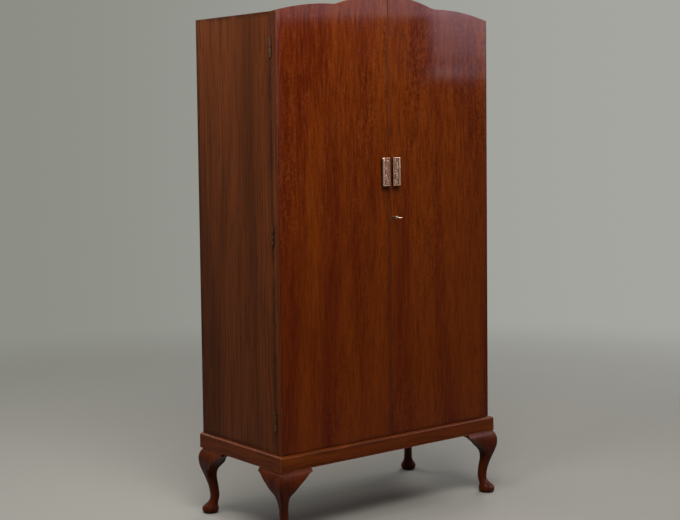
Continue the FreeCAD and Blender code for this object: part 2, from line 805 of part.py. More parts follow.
def lock_bolt_solid():
    bolt = block(bolt_start_x, bolt_start_x + bolt_length, bolt_front_y, bolt_back_y, bolt_low_z, bolt_high_z)
    notch_top = keyhole_height + key_bit_reach + key_fit
    middle = keyhole_x + bolt_throw / 2
    notch = block(middle - bolt_notch_width / 2, middle + bolt_notch_width / 2, bolt_front_y - overrun,
                  bolt_back_y + overrun, bolt_low_z - overrun, notch_top)
    return bolt.cut(notch)


def key_solid():
    bow_y = door_face_y - key_reach + key_bow_radius
    end_y = lock_back_y - lock_wall - key_end_gap
    centre = Vector(keyhole_x, bow_y, keyhole_height - key_bow_thickness / 2)
    bow = bar(centre, Vector(0, 0, 1), key_bow_thickness, key_bow_radius)
    shank_y = bow_y + (key_bow_radius + key_bow_hole_radius) / 2
    shank = bar(Vector(keyhole_x, shank_y, keyhole_height), key_axis, end_y - shank_y, key_shank_radius)
    collar = bar(Vector(keyhole_x, bow_y + key_collar_offset - key_collar_length, keyhole_height), key_axis,
                 key_collar_length, key_collar_radius)
    bit_end_y = bolt_front_y + bolt_depth / 2 + key_bit_length / 2
    bit = block(keyhole_x, keyhole_x + key_bit_reach, bit_end_y - key_bit_length, bit_end_y,
                keyhole_height - key_bit_width / 2, keyhole_height + key_bit_width / 2)
    hole = bar(centre, Vector(0, 0, 1), key_bow_thickness, key_bow_hole_radius)
    return bow.fuse(shank).fuse(collar).fuse(bit).cut(hole)


def oval_plate(clearance, y0, y1):
    radius = escutcheon_width / 2 + clearance
    rise = (escutcheon_height - escutcheon_width) / 2
    middle_z = keyhole_height - escutcheon_drop
    plate = block(keyhole_x - radius, keyhole_x + radius, y0, y1, middle_z - rise, middle_z + rise)
    for side in (-1, 1):
        plate = plate.fuse(bar(Vector(keyhole_x, y0, middle_z + side * rise), key_axis, y1 - y0, radius))
    return plate.removeSplitter()


def keyway(y0, y1):
    passage = bar(Vector(keyhole_x, y0, keyhole_height), key_axis, y1 - y0, key_shank_radius + key_fit)
    half_slot = key_bit_width / 2 + keyway_slot_fit
    slot = block(keyhole_x - half_slot, keyhole_x + half_slot, y0, y1,
                 keyhole_height - key_bit_reach - keyway_slot_fit, keyhole_height)
    return passage.fuse(slot)


lock_screws, lock_screw_holes = screws_and_holes(lock_screw_points(), Vector(0, -1, 0))
lock_case = lock_case_solid(lock_screw_holes)
lock_bolt = lock_bolt_solid()
key = key_solid()
escutcheon_front_y = door_face_y - escutcheon_rise
escutcheon_back_y = escutcheon_front_y + escutcheon_thickness
door_keyway = keyway(door_face_y - overrun, bolt_front_y)
escutcheon = oval_plate(0, escutcheon_front_y, escutcheon_back_y).cut(door_keyway)
escutcheon_recess = oval_plate(escutcheon_fit, door_face_y - overrun, escutcheon_back_y)
lock_recess = block(door_edge_x - overrun, door_edge_x + lock_width + lock_fit, lock_front_y - lock_fit,
                    lock_back_y + overrun, lock_low_z - lock_fit, lock_high_z + lock_fit)
flange_recess = block(door_edge_x - overrun, door_edge_x + lock_width + lock_fit, lock_back_y - lock_wall,
                      lock_back_y + overrun, lock_low_z - lock_flange - lock_fit,
                      lock_high_z + lock_flange + lock_fit)

# Keeper plate and pocket in the left door's meeting edge
left_edge_x = -seam_gap / 2
bolt_middle_z = (bolt_low_z + bolt_high_z) / 2
bolt_middle_y = (bolt_front_y + bolt_back_y) / 2
keeper_low_z = bolt_middle_z - keeper_length / 2
keeper_high_z = bolt_middle_z + keeper_length / 2
keeper_low_y = bolt_middle_y - keeper_width / 2
keeper_high_y = bolt_middle_y + keeper_width / 2
keeper_pocket = block(left_edge_x - keeper_pocket_depth, left_edge_x + overrun,
                      bolt_front_y - keeper_pocket_fit, bolt_back_y + keeper_pocket_fit,
                      bolt_low_z - keeper_pocket_fit, bolt_high_z + keeper_pocket_fit)
keeper_recess = block(left_edge_x - keeper_thickness, left_edge_x + overrun, keeper_low_y, keeper_high_y,
                      keeper_low_z, keeper_high_z)
lock_keeper = block(left_edge_x - keeper_thickness, left_edge_x, keeper_low_y, keeper_high_y,
                    keeper_low_z, keeper_high_z).cut(keeper_pocket)


# Slip bolts: a rod in two guides on a plate, shooting up or down into the case
slip_x = -seam_gap / 2 - slip_from_seam
slip_rod_y = door_back_y + slip_rod_stand


def slip_bolt(tip_z, way):
    # way is 1 for the bolt that shoots up and -1 for the one that shoots down
    axis = Vector(0, 0, way)
    plate_end_z = tip_z - way * slip_guide_inset
    plate_far_z = plate_end_z - way * slip_plate_height
    low_z, high_z = sorted((plate_end_z, plate_far_z))
    plate = block(slip_x - slip_plate_width / 2, slip_x + slip_plate_width / 2, door_back_y,
                  door_back_y + slip_plate_thickness, low_z, high_z)
    guide_half = slip_rod_radius + slip_guide_wall
    for z in (plate_end_z, plate_far_z + way * slip_guide_height):
        g_low, g_high = sorted((z, z - way * slip_guide_height))
        guide = block(slip_x - guide_half, slip_x + guide_half, door_back_y, slip_rod_y + guide_half,
                      g_low, g_high)
        plate = plate.fuse(guide)
    bore = bar(Vector(slip_x, slip_rod_y, tip_z - way * 2 * slip_rod_length), axis, 4 * slip_rod_length,
               slip_rod_radius + slip_rod_fit)
    points = []
    screw_x = slip_plate_width / 2 - slip_screw_inset / 2 - slip_plate_thickness
    screw_y = door_back_y + slip_plate_thickness
    screw_inset = slip_guide_height + slip_screw_inset
    for z in (low_z + screw_inset, high_z - screw_inset):
        for side in (-1, 1):
            points.append(Vector(slip_x + side * screw_x, screw_y, z))
    screws, holes = screws_and_holes(points, Vector(0, -1, 0))
    plate = cut_all(plate.cut(bore), holes)
    rod = bar(Vector(slip_x, slip_rod_y, tip_z), Vector(0, 0, -way), slip_rod_length, slip_rod_radius)
    knob_z = tip_z - way * (slip_guide_inset + slip_plate_height / 2)
    knob = bar(Vector(slip_x, slip_rod_y, knob_z), Vector(0, 1, 0), slip_knob_length, slip_knob_radius)
    return plate, rod.fuse(knob), screws, holes


def bolt_keeper(face_z, way):
    plate = block(slip_x - keeper_plate_length / 2, slip_x + keeper_plate_length / 2, case_front_y,
                  case_front_y + keeper_plate_depth, min(face_z, face_z + way * keeper_plate_thickness),
                  max(face_z, face_z + way * keeper_plate_thickness))
    hole = bar(Vector(slip_x, slip_rod_y, face_z - way * overrun), Vector(0, 0, way), slip_travel + 2 * overrun,
               slip_rod_radius + keeper_hole_fit)
    return plate.cut(hole), plate, hole


top_tip_z = head_rail_bottom_z - slip_end_gap
bottom_tip_z = floor_top_z + slip_end_gap
top_bolt_plate, top_bolt, top_bolt_screws, top_bolt_holes = slip_bolt(top_tip_z, 1)
bottom_bolt_plate, bottom_bolt, bottom_bolt_screws, bottom_bolt_holes = slip_bolt(bottom_tip_z, -1)
top_keeper, top_keeper_recess, top_keeper_hole = bolt_keeper(head_rail_bottom_z, 1)
bottom_keeper, bottom_keeper_recess, bottom_keeper_hole = bolt_keeper(floor_top_z, -1)
bottom_board = block(-inner_half, inner_half, case_front_y, back_panel_y, case_z, floor_top_z)
bottom_board = bottom_board.cut(bottom_keeper_recess).cut(bottom_keeper_hole)
head_rail = arched_head_rail().cut(top_keeper_recess).cut(top_keeper_hole)


# Tie rail on the left door's back
def tie_rail_pieces():
    rail_y_line = door_back_y + tie_rail_stand
    centre_x = -half_width / 2
    start = Vector(centre_x - tie_rail_length / 2, rail_y_line, tie_rail_height)
    rail = bar(start, Vector(1, 0, 0), tie_rail_length, tie_rail_radius)
    brackets = []
    for side in (-1, 1):
        x = centre_x + side * (tie_rail_length / 2 - tie_rail_overhang - tie_bracket_thickness / 2)
        low_x = x - tie_bracket_thickness / 2
        arm = block(low_x, low_x + tie_bracket_thickness, door_back_y, rail_y_line,
                    tie_rail_height - tie_bracket_width / 2, tie_rail_height + tie_bracket_width / 2)
        foot = block(low_x, low_x + tie_bracket_thickness,
                     door_back_y, door_back_y + tie_bracket_foot_thickness,
                     tie_rail_height - tie_bracket_foot / 2, tie_rail_height + tie_bracket_foot / 2)
        eye = bar(Vector(low_x, rail_y_line, tie_rail_height), Vector(1, 0, 0), tie_bracket_thickness,
                  tie_bracket_width / 2)
        hole = bar(Vector(low_x - overrun, rail_y_line, tie_rail_height), Vector(1, 0, 0),
                   tie_bracket_thickness + 2 * overrun, tie_rail_radius + tie_rail_fit)
        brackets.append(arm.fuse(foot).fuse(eye).cut(hole))
    return rail, brackets


tie_rail, tie_brackets = tie_rail_pieces()


# Dressing mirror on the right door's back, held by four clips
def mirror_pieces():
    low_x = partition_right + mirror_from_partition
    high_x = inner_half - mirror_from_side
    centre_x = (low_x + high_x) / 2
    low_z = mirror_centre_height - mirror_height / 2
    high_z = mirror_centre_height + mirror_height / 2
    far_y = door_back_y + mirror_thickness
    glass = block(low_x, high_x, door_back_y, far_y, low_z, high_z)
    glass = round_edges(glass, mirror_round,
                        lambda edge: abs(edge.Vertexes[0].Point.y - edge.Vertexes[1].Point.y) > panel_fit)
    clips = []
    for z_edge, way in ((low_z, -1), (high_z, 1)):
        for side in (-1, 1):
            x = centre_x + side * (high_x - low_x) * clip_inset_share
            foot_z = sorted((z_edge + way * clip_fit, z_edge + way * (clip_length - clip_overlap)))
            lap_z = sorted((z_edge - way * clip_overlap, z_edge + way * (clip_fit + clip_thickness)))
            foot = block(x - clip_width / 2, x + clip_width / 2, door_back_y, door_back_y + clip_thickness,
                         foot_z[0], foot_z[1])
            riser_z = sorted((z_edge + way * clip_fit, z_edge + way * (clip_fit + clip_thickness)))
            riser = block(x - clip_width / 2, x + clip_width / 2, door_back_y,
                          far_y + clip_fit + clip_thickness, riser_z[0], riser_z[1])
            lap = block(x - clip_width / 2, x + clip_width / 2, far_y + clip_fit,
                        far_y + clip_fit + clip_thickness, lap_z[0], lap_z[1])
            clips.append(foot.fuse(riser).fuse(lap).removeSplitter())
    return glass, clips


mirror_glass, mirror_clips = mirror_pieces()


# Door panels: each is half of the arched front, less half of the gap at the seam
def door_slab():
    slab = arched_half(door_bottom_z, 0, door_face_y, door_thickness)
    seam = block(-overrun, door_edge_x, door_face_y - overrun, door_back_y + overrun, 0, 2 * shoulder_z)
    slab = slab.cut(seam)
    return round_edges(slab, door_round, lambda edge: at_y(edge, door_face_y))


right_door_panel = cut_all(door_slab(), door_hinge_cutters + handle_holes + lock_screw_holes
                           + [lock_recess, flange_recess, door_keyway, escutcheon_recess])
left_door_cutters = [mirrored(cutter) for cutter in door_hinge_cutters + handle_holes]
left_door_panel = cut_all(mirrored(door_slab()), left_door_cutters + top_bolt_holes + bottom_bolt_holes
                          + [keeper_pocket, keeper_recess])
right_side_panel = side_panel(side_cutters, [])
left_side_panel = cut_all(mirrored(side_panel(side_cutters, [])), left_socket_holes)

# Write every piece
save("left_side_panel", left_side_panel)
save("right_side_panel", right_side_panel)
save("top_board", top_board)
save("bottom_board", bottom_board)
save("back_panel", back_panel)
save("head_rail", head_rail)
save("partition", partition)
save("hat_shelf", hat_shelf)
for number, shelf_bottom in enumerate(shelf_bottoms, start=1):
    save("shelf_" + str(number), shelf(shelf_bottom))
save("shelf_lips", [shelf_lip(shelf_bottom) for shelf_bottom in shelf_bottoms])
save("shelf_bearers", shelf_bearers)
save("hanging_rail", hanging_rail)
save("rail_sockets", [left_socket, right_socket])
save("rail_socket_screws", left_socket_screws + right_socket_screws)
save("base_front_rail", front_rail())
save("base_right_rail", right_side_rail())
save("base_left_rail", mirrored(right_side_rail()))
save("base_back_rail", back_rail)
corners = (("front_left", -1, -1), ("front_right", 1, -1), ("back_left", -1, 1), ("back_right", 1, 1))
for corner_name, side, end in corners:
    save("leg_" + corner_name, to_corner(leg, side, end))
ears = (ear_along_front, ear_along_side)
save("leg_ears_front", [to_corner(ear, side, -1) for side in (-1, 1) for ear in ears])
save("leg_ears_back", [to_corner(ear, side, 1) for side in (-1, 1) for ear in ears])
save("base_corner_blocks", [corner_block(side, end) for _, side, end in corners])
save("base_front_batten", front_batten())
save("bolt_keepers", [top_keeper, bottom_keeper])
save("right_hinge_case_leaves", case_leaves)
save("left_hinge_case_leaves", [mirrored(leaf) for leaf in case_leaves])
save("right_hinge_pins", hinge_pins)
save("left_hinge_pins", [mirrored(pin) for pin in hinge_pins])
save("case_hinge_screws", case_leaf_screws + [mirrored(screw) for screw in case_leaf_screws])
save("left_door_panel", left_door_panel)
save("left_handle", mirrored(right_handle))
save("left_handle_screws", [mirrored(screw) for screw in right_handle_screws])
save("left_hinge_door_leaves", [mirrored(leaf) for leaf in door_leaves])
save("left_door_hinge_screws", [mirrored(screw) for screw in door_leaf_screws])
save("lock_keeper", lock_keeper)
save("slip_bolt_plates", [top_bolt_plate, bottom_bolt_plate])
save("slip_bolt_screws", top_bolt_screws + bottom_bolt_screws)
save("tie_rail", tie_rail)
save("tie_rail_brackets", tie_brackets)
save("top_slip_bolt", top_bolt)
save("bottom_slip_bolt", bottom_bolt)
save("right_door_panel", right_door_panel)
save("right_handle", right_handle)
save("right_handle_screws", right_handle_screws)
save("right_hinge_door_leaves", door_leaves)
save("right_door_hinge_screws", door_leaf_screws)
save("lock_case", lock_case)
save("lock_screws", lock_screws)
save("escutcheon", escutcheon)
save("dressing_mirror", mirror_glass)
save("mirror_clips", mirror_clips)
save("key", key)
save("lock_bolt", lock_bolt)
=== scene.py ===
# %% [markdown]
# # A compactum wardrobe in french-polished mahogany
# This lesson dresses a finished construction model. The construction model gives every board, hinge and screw its
# size and place, so nothing is fitted by eye here. The lesson adds what a construction model lacks: the figure of the
# veneer, the polish and its wear, the toned brass, two cast pulls with their ornament, and a turned key.

# %% Load the construction model
import json
import math

import bmesh
import bpy
from mathutils import Matrix, Vector


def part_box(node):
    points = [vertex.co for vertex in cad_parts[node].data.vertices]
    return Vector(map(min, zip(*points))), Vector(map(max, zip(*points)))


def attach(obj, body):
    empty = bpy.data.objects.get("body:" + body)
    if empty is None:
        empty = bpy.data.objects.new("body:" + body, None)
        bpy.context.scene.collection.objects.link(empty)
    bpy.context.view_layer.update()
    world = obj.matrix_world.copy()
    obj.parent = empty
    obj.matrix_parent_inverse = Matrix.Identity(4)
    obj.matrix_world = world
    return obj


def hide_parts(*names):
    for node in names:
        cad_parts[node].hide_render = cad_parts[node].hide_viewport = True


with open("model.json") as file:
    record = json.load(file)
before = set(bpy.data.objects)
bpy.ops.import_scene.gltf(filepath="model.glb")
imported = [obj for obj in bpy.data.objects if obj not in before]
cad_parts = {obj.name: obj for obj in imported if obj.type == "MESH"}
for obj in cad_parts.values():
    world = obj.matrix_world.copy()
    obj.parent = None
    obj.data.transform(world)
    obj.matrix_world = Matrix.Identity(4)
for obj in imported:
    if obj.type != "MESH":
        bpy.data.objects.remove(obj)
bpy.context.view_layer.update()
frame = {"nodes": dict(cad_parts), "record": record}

# %% [markdown]
# The photograph was taken from the left, from about chest height, through a fairly long lens. A camera could be
# placed by eye. Here its place, turn and lens are numbers that were worked out from the straight edges of the case,
# so that each edge falls where the photograph has it. The frame is lower than the lens's middle, which is what a
# small vertical shift does.

# %% Camera
camera_place = Vector((-2.9454, -3.6827, 1.3337))
camera_yaw = math.radians(38.229)
camera_pitch = math.radians(3.970)
camera_roll = math.radians(-0.669)
focal_length_mm = 71.98
sensor_width_mm = 36.0
frame_shift_y = -0.0626

level_right = Vector((math.cos(camera_yaw), -math.sin(camera_yaw), 0))
sight = Vector((math.sin(camera_yaw) * math.cos(camera_pitch), math.cos(camera_yaw) * math.cos(camera_pitch),
                -math.sin(camera_pitch)))
level_up = level_right.cross(sight)
right = math.cos(camera_roll) * level_right + math.sin(camera_roll) * level_up
up = math.cos(camera_roll) * level_up - math.sin(camera_roll) * level_right

camera_data = bpy.data.cameras.new("camera")
camera_data.lens = focal_length_mm
camera_data.sensor_width = sensor_width_mm
camera_data.shift_y = frame_shift_y
camera = bpy.data.objects.new("camera", camera_data)
camera.matrix_world = Matrix.Translation(camera_place) @ Matrix((right, up, -sight)).transposed().to_4x4()
bpy.context.scene.collection.objects.link(camera)
bpy.context.scene.camera = camera
bpy.context.scene.view_settings.view_transform = "Standard"
print("camera looks along", [round(value, 3) for value in sight])

# %% [markdown]
# Colours are easiest to think about on the 0 to 255 scale of a colour picker, but a shader works in linear light. One
# small function turns the first into the second, so every colour below can be written in picker numbers.

# %% Colours
def tone(red, green, blue):
    def linear(value):
        share = value / 255
        if share <= 0.04045:
            return share / 12.92
        return ((share + 0.055) / 1.055) ** 2.4

    return (linear(red), linear(green), linear(blue), 1.0)


print("picker grey 128 is", round(tone(128, 128, 128)[0], 3), "in linear light")

# %% [markdown]
# A shader is a small net of nodes. Small helpers keep each material readable: one adds a node and feeds its sockets,
# a few do sums, one parts a place into its three numbers, one stretches a band of values to run from nothing to one,
# and the others mix colours, draw noise out along the grain, and move the noise by a seed so that no two boards are
# alike.

# %% Helpers for shader nodes
def add_node(tree, kind, feeds=None, **settings):
    node = tree.nodes.new(kind)
    for name, value in settings.items():
        setattr(node, name, value)
    for key, value in (feeds or {}).items():
        if isinstance(value, bpy.types.NodeSocket):
            tree.links.new(value, node.inputs[key])
        else:
            node.inputs[key].default_value = value
    return node


def calculate(tree, operation, *values):
    return add_node(tree, "ShaderNodeMath", dict(enumerate(values)), operation=operation).outputs[0]


def times(tree, first, second):
    return calculate(tree, "MULTIPLY", first, second)


def plus(tree, first, second):
    return calculate(tree, "ADD", first, second)


def minus(tree, first, second):
    return calculate(tree, "SUBTRACT", first, second)


def parts_of(tree, place):
    return add_node(tree, "ShaderNodeSeparateXYZ", {0: place}).outputs


def spread(tree, value, low, high, start=0.0, end=1.0):
    feeds = {"Value": value, "From Min": low, "From Max": high, "To Min": start, "To Max": end}
    return add_node(tree, "ShaderNodeMapRange", feeds, interpolation_type="SMOOTHSTEP").outputs[0]


def blend_colours(tree, share, first, second, way="MIX"):
    node = add_node(tree, "ShaderNodeMix", {0: share, 6: first, 7: second}, data_type="RGBA", blend_type=way)
    return node.outputs[2]


def stretched_noise(tree, place, scales, detail=2.0, roughness=0.5, turn=(0, 0, 0)):
    mapped = add_node(tree, "ShaderNodeMapping", {"Vector": place, "Rotation": turn, "Scale": scales})
    feeds = {"Vector": mapped.outputs[0], "Scale": 1.0, "Detail": detail, "Roughness": roughness}
    return add_node(tree, "ShaderNodeTexNoise", feeds).outputs[0]


def vector_math(tree, first, second, operation="ADD"):
    return add_node(tree, "ShaderNodeVectorMath", {0: first, 1: second}, operation=operation).outputs[0]


def moved_by_seed(tree, place, step, seed):
    shift = add_node(tree, "ShaderNodeVectorMath", {0: step, "Scale": seed}, operation="SCALE").outputs[0]
    return vector_math(tree, place, shift)


# %% [markdown]
# An effect that many materials share is built once as a node group. A group has its own named inputs and outputs, so
# it can be used like any other node. This helper makes the empty group and its sockets.

# %% Helper for node groups
socket_kinds = {"value": "NodeSocketFloat", "colour": "NodeSocketColor", "place": "NodeSocketVector"}


def new_group(name, inputs, outputs):
    tree = bpy.data.node_groups.new(name, "ShaderNodeTree")
    for label, kind, value in inputs:
        socket = tree.interface.new_socket(name=label, in_out="INPUT", socket_type=socket_kinds[kind])
        if value is not None:
            socket.default_value = value
    for label, kind in outputs:
        tree.interface.new_socket(name=label, in_out="OUTPUT", socket_type=socket_kinds[kind])
    return tree, tree.nodes.new("NodeGroupInput").outputs, tree.nodes.new("NodeGroupOutput")


def finish_group(tree, output_node, results):
    for label, socket in results.items():
        tree.links.new(socket, output_node.inputs[label])
    print("group", tree.name, "has", len(tree.nodes), "nodes")


# %% [markdown]
# Figured mahogany has dark, broken streaks along the grain, where the fibres lean one way and then the other. Short
# ripples cross them in ladders, the fiddleback mottle, and the open pores are fine dark dashes. It could be painted,
# but here it is grown: every effect is noise in the solid wood, squeezed across the grain and drawn out along it, so
# it runs through each board and shows the right way on every face. The grain runs along Z.

# %% Node group: figured wood
wood_tree, wood_in, wood_out = new_group(
    "figured_wood",
    [("Grain", "place", None), ("Seed", "value", 0.0), ("Pale", "colour", tone(150, 90, 50)),
     ("Middle", "colour", tone(120, 60, 30)), ("Deep", "colour", tone(80, 35, 18)), ("Streaks", "value", 0.6),
     ("Streaks Per Metre", "value", 80.0), ("Streak Length", "value", 0.16), ("Mottle", "value", 0.0),
     ("Pores", "value", 1.0), ("Roughness", "value", 0.3)],
    [("Color", "colour"), ("Roughness", "value"), ("Height", "value")])

sway_reach = 0.04
seeded = moved_by_seed(wood_tree, wood_in["Grain"], (3.71, 1.37, 2.19), wood_in["Seed"])
slow_noise = stretched_noise(wood_tree, seeded, (5.0, 5.0, 2.2), 2.0)
sway = times(wood_tree, minus(wood_tree, slow_noise, 0.5), sway_reach)
swayed = vector_math(wood_tree, seeded, add_node(wood_tree, "ShaderNodeCombineXYZ", {0: sway, 1: sway}).outputs[0])
along = calculate(wood_tree, "DIVIDE", 1.0, wood_in["Streak Length"])


def streaks_of(share_across, share_along, low, high, detail):
    across = times(wood_tree, wood_in["Streaks Per Metre"], share_across)
    scale = add_node(wood_tree, "ShaderNodeCombineXYZ",
                     {0: across, 1: across, 2: times(wood_tree, along, share_along)}).outputs[0]
    place = vector_math(wood_tree, swayed, scale, "MULTIPLY")
    feeds = {"Vector": place, "Scale": 1.0, "Detail": detail, "Roughness": 0.55}
    return spread(wood_tree, add_node(wood_tree, "ShaderNodeTexNoise", feeds).outputs[0], low, high)


wide_streaks = streaks_of(1.0, 1.0, 0.44, 0.66, 2.0)
thin_streaks = streaks_of(2.9, 0.8, 0.40, 0.70, 2.0)
bands = spread(wood_tree, stretched_noise(wood_tree, swayed, (9.0, 9.0, 0.9), 1.0), 0.36, 0.64)
stripes = streaks_of(0.22, 0.25, 0.32, 0.68, 2.0)
broad_tone = plus(wood_tree, times(wood_tree, bands, 0.75), times(wood_tree, stripes, 0.25))
fibres = stretched_noise(wood_tree, swayed, (620.0, 620.0, 9.0), 3.0, 0.65)
pores = spread(wood_tree, stretched_noise(wood_tree, swayed, (1900.0, 1900.0, 85.0), 1.0), 0.63, 0.70)
pores = times(wood_tree, pores, wood_in["Pores"])
lean = spread(wood_tree, streaks_of(0.55, 1.0, 0.34, 0.66, 3.0), 0.0, 1.0, -1.0, 1.0)
ladder = spread(wood_tree, stretched_noise(wood_tree, swayed, (48.0, 48.0, 180.0), 1.0, 0.5, (0.0, 0.2, 0.0)),
                0.36, 0.64, 0.15, 1.0)
flecks = spread(wood_tree, stretched_noise(wood_tree, swayed, (115.0, 115.0, 72.0), 2.0, 0.6, (0.0, -0.5, 0.0)),
                0.36, 0.64, -0.8, 0.8)
patches = spread(wood_tree, slow_noise, 0.46, 0.66)
ripple = plus(wood_tree, times(wood_tree, lean, ladder), times(wood_tree, flecks, patches))
ripple = times(wood_tree, ripple, wood_in["Mottle"])
print("wood pattern made of", len(wood_tree.nodes), "nodes")

# %% [markdown]
# The pattern now becomes colour. Broad bands decide between the middle and the pale tone, and streaks bring in the
# deep one. The fiddleback ripple is the wood's own figure, but its two sides are painted light: where its fibres lean
# away from the eye it is painted shade towards the deep tone, and where they lean towards it a painted sheen of a
# paler colour. Open pores are darker, rougher and a little sunk.

# %% Node group: colour of the wood
wide_share = 0.75
thin_share = 0.35
ripple_shade_share = 0.55
sheen_share = 0.22
painted_sheen_colour = tone(156, 86, 44)
pore_darkening = 0.45
pore_roughness = 0.2
fibre_height = 0.25

colour = blend_colours(wood_tree, broad_tone, wood_in["Middle"], wood_in["Pale"])
dark_share = plus(wood_tree, times(wood_tree, wide_streaks, wide_share), times(wood_tree, thin_streaks, thin_share))
dark_share = times(wood_tree, dark_share, wood_in["Streaks"])
colour = blend_colours(wood_tree, calculate(wood_tree, "MINIMUM", dark_share, 1.0), colour, wood_in["Deep"])
# The ripple's dark side is painted shade, and its pale side is a painted sheen.
painted_ripple_shade = times(wood_tree, calculate(wood_tree, "MAXIMUM", ripple, 0.0), ripple_shade_share)
painted_sheen = times(wood_tree, calculate(wood_tree, "MINIMUM", ripple, 0.0), -sheen_share)
colour = blend_colours(wood_tree, painted_ripple_shade, colour, wood_in["Deep"])
colour = blend_colours(wood_tree, painted_sheen, colour, painted_sheen_colour)
pore_shade = minus(wood_tree, 1.0, times(wood_tree, pores, pore_darkening))
shade = times(wood_tree, spread(wood_tree, fibres, 0.3, 0.7, 0.88, 1.10), pore_shade)
grey = add_node(wood_tree, "ShaderNodeCombineColor", {0: shade, 1: shade, 2: shade}).outputs[0]
colour = blend_colours(wood_tree, 1.0, colour, grey, "MULTIPLY")
gloss = plus(wood_tree, wood_in["Roughness"], times(wood_tree, pores, pore_roughness))
gloss = plus(wood_tree, gloss, spread(wood_tree, fibres, 0.3, 0.7, -0.02, 0.02))
height = minus(wood_tree, times(wood_tree, fibres, fibre_height), pores)
finish_group(wood_tree, wood_out, {"Color": colour, "Roughness": gloss, "Height": height})

# %% [markdown]
# Ninety years of use rub the polish off the arrises first and leave fine scratches and cloudy patches, and the group
# also darkens the finish in patches near the arrises. The arris of a board is where two of its six sides meet, so the
# group measures how far a point lies inside the board's box and lights up where two of those distances are small.
# That works for every board alike and needs no painted map.

# %% Node group: worn polish
wear_tree, wear_in, wear_out = new_group(
    "worn_polish",
    [("Place", "place", None), ("Centre", "place", None), ("Half Size", "place", None), ("Seed", "value", 0.0),
     ("Color", "colour", tone(120, 60, 30)), ("Roughness", "value", 0.3), ("Edge Width", "value", 0.0012),
     ("Edge Colour", "colour", tone(160, 100, 60)), ("Edge Wear", "value", 0.5), ("Edge Darkening", "value", 0.5),
     ("Scuffs", "value", 0.5)],
    [("Color", "colour"), ("Roughness", "value"), ("Height", "value")])

offset = vector_math(wear_tree, wear_in["Place"], wear_in["Centre"], "SUBTRACT")
offset = add_node(wear_tree, "ShaderNodeVectorMath", {0: offset}, operation="ABSOLUTE").outputs[0]
inside = vector_math(wear_tree, wear_in["Half Size"], offset, "SUBTRACT")
depth_x, depth_y, depth_z = parts_of(wear_tree, inside)
second_x = calculate(wear_tree, "MAXIMUM", depth_x, depth_y)
second_y = calculate(wear_tree, "MAXIMUM", depth_y, depth_z)
second_z = calculate(wear_tree, "MAXIMUM", depth_x, depth_z)
arris = calculate(wear_tree, "MINIMUM", calculate(wear_tree, "MINIMUM", second_x, second_y), second_z)
edge_widths = calculate(wear_tree, "DIVIDE", arris, wear_in["Edge Width"])
near_arris = spread(wear_tree, edge_widths, 0.35, 1.3, 1.0, 0.0)
by_arris = spread(wear_tree, edge_widths, 1.0, 8.0, 1.0, 0.0)
moved = moved_by_seed(wear_tree, wear_in["Place"], (1.91, 2.63, 0.77), wear_in["Seed"])
patches = stretched_noise(wear_tree, moved, (14.0, 14.0, 14.0), 3.0, 0.6)
chips = stretched_noise(wear_tree, moved, (160.0, 160.0, 160.0), 2.0, 0.6)
rubbed = times(wear_tree, near_arris, spread(wear_tree, patches, 0.42, 0.66, 0.15, 1.0))
chipped = times(wear_tree, by_arris, spread(wear_tree, chips, 0.69, 0.73))
rubbed = times(wear_tree, calculate(wear_tree, "MAXIMUM", rubbed, chipped), wear_in["Edge Wear"])
# Patches within a few edge widths of the arrises are darkened.
darkened_edges = times(wear_tree, by_arris, spread(wear_tree, patches, 0.3, 0.6))
darkened_edges = times(wear_tree, darkened_edges, wear_in["Edge Darkening"])
clouds = stretched_noise(wear_tree, moved, (5.0, 5.0, 3.0), 4.0, 0.55)
scratches = stretched_noise(wear_tree, moved, (900.0, 900.0, 14.0), 1.0, 0.5, (0.5, 0.6, 0.4))
sparse = spread(wear_tree, stretched_noise(wear_tree, moved, (9.0, 9.0, 9.0), 1.0), 0.55, 0.68)
scratches = times(wear_tree, spread(wear_tree, scratches, 0.70, 0.74), sparse)
scratches = times(wear_tree, scratches, wear_in["Scuffs"])
print("wear pattern made of", len(wear_tree.nodes), "nodes")

# %% [markdown]
# Each mark then does its own thing to the surface. The patches near the arrises go darker, a rubbed arris shows the
# paler wood and goes matt, scratches are pale, matt and sunk, and the clouds only change how well the polish
# reflects.

# %% Node group: colour of the wear
edge_darkening_brown = tone(30, 14, 9)
edge_darkening_strength = 0.55
scratch_strength = 0.35
cloud_roughness = 0.10
arris_roughness = 0.35
scratch_roughness = 0.2

edge_darkening_share = times(wear_tree, darkened_edges, edge_darkening_strength)
scratch_share = times(wear_tree, scratches, scratch_strength)
worn_colour = blend_colours(wear_tree, edge_darkening_share, wear_in["Color"], edge_darkening_brown)
worn_colour = blend_colours(wear_tree, rubbed, worn_colour, wear_in["Edge Colour"])
worn_colour = blend_colours(wear_tree, scratch_share, worn_colour, wear_in["Edge Colour"])
cloudy = times(wear_tree, minus(wear_tree, clouds, 0.5), cloud_roughness)
worn_gloss = plus(wear_tree, wear_in["Roughness"], cloudy)
worn_gloss = plus(wear_tree, worn_gloss, times(wear_tree, near_arris, arris_roughness))
worn_gloss = plus(wear_tree, worn_gloss, times(wear_tree, scratches, scratch_roughness))
dents = times(wear_tree, plus(wear_tree, scratches, chipped), -1.0)
finish_group(wear_tree, wear_out, {"Color": worn_colour, "Roughness": worn_gloss, "Height": dents})

# %% [markdown]
# Old brass isn't one colour. It darkens to brown where it isn't touched, keeps a pinkish bloom, and stays brighter
# where fingers rub it. Small specks of tarnish break the shine. The same group serves the pulls, the hinges and, in
# greys, the steel of the lock.

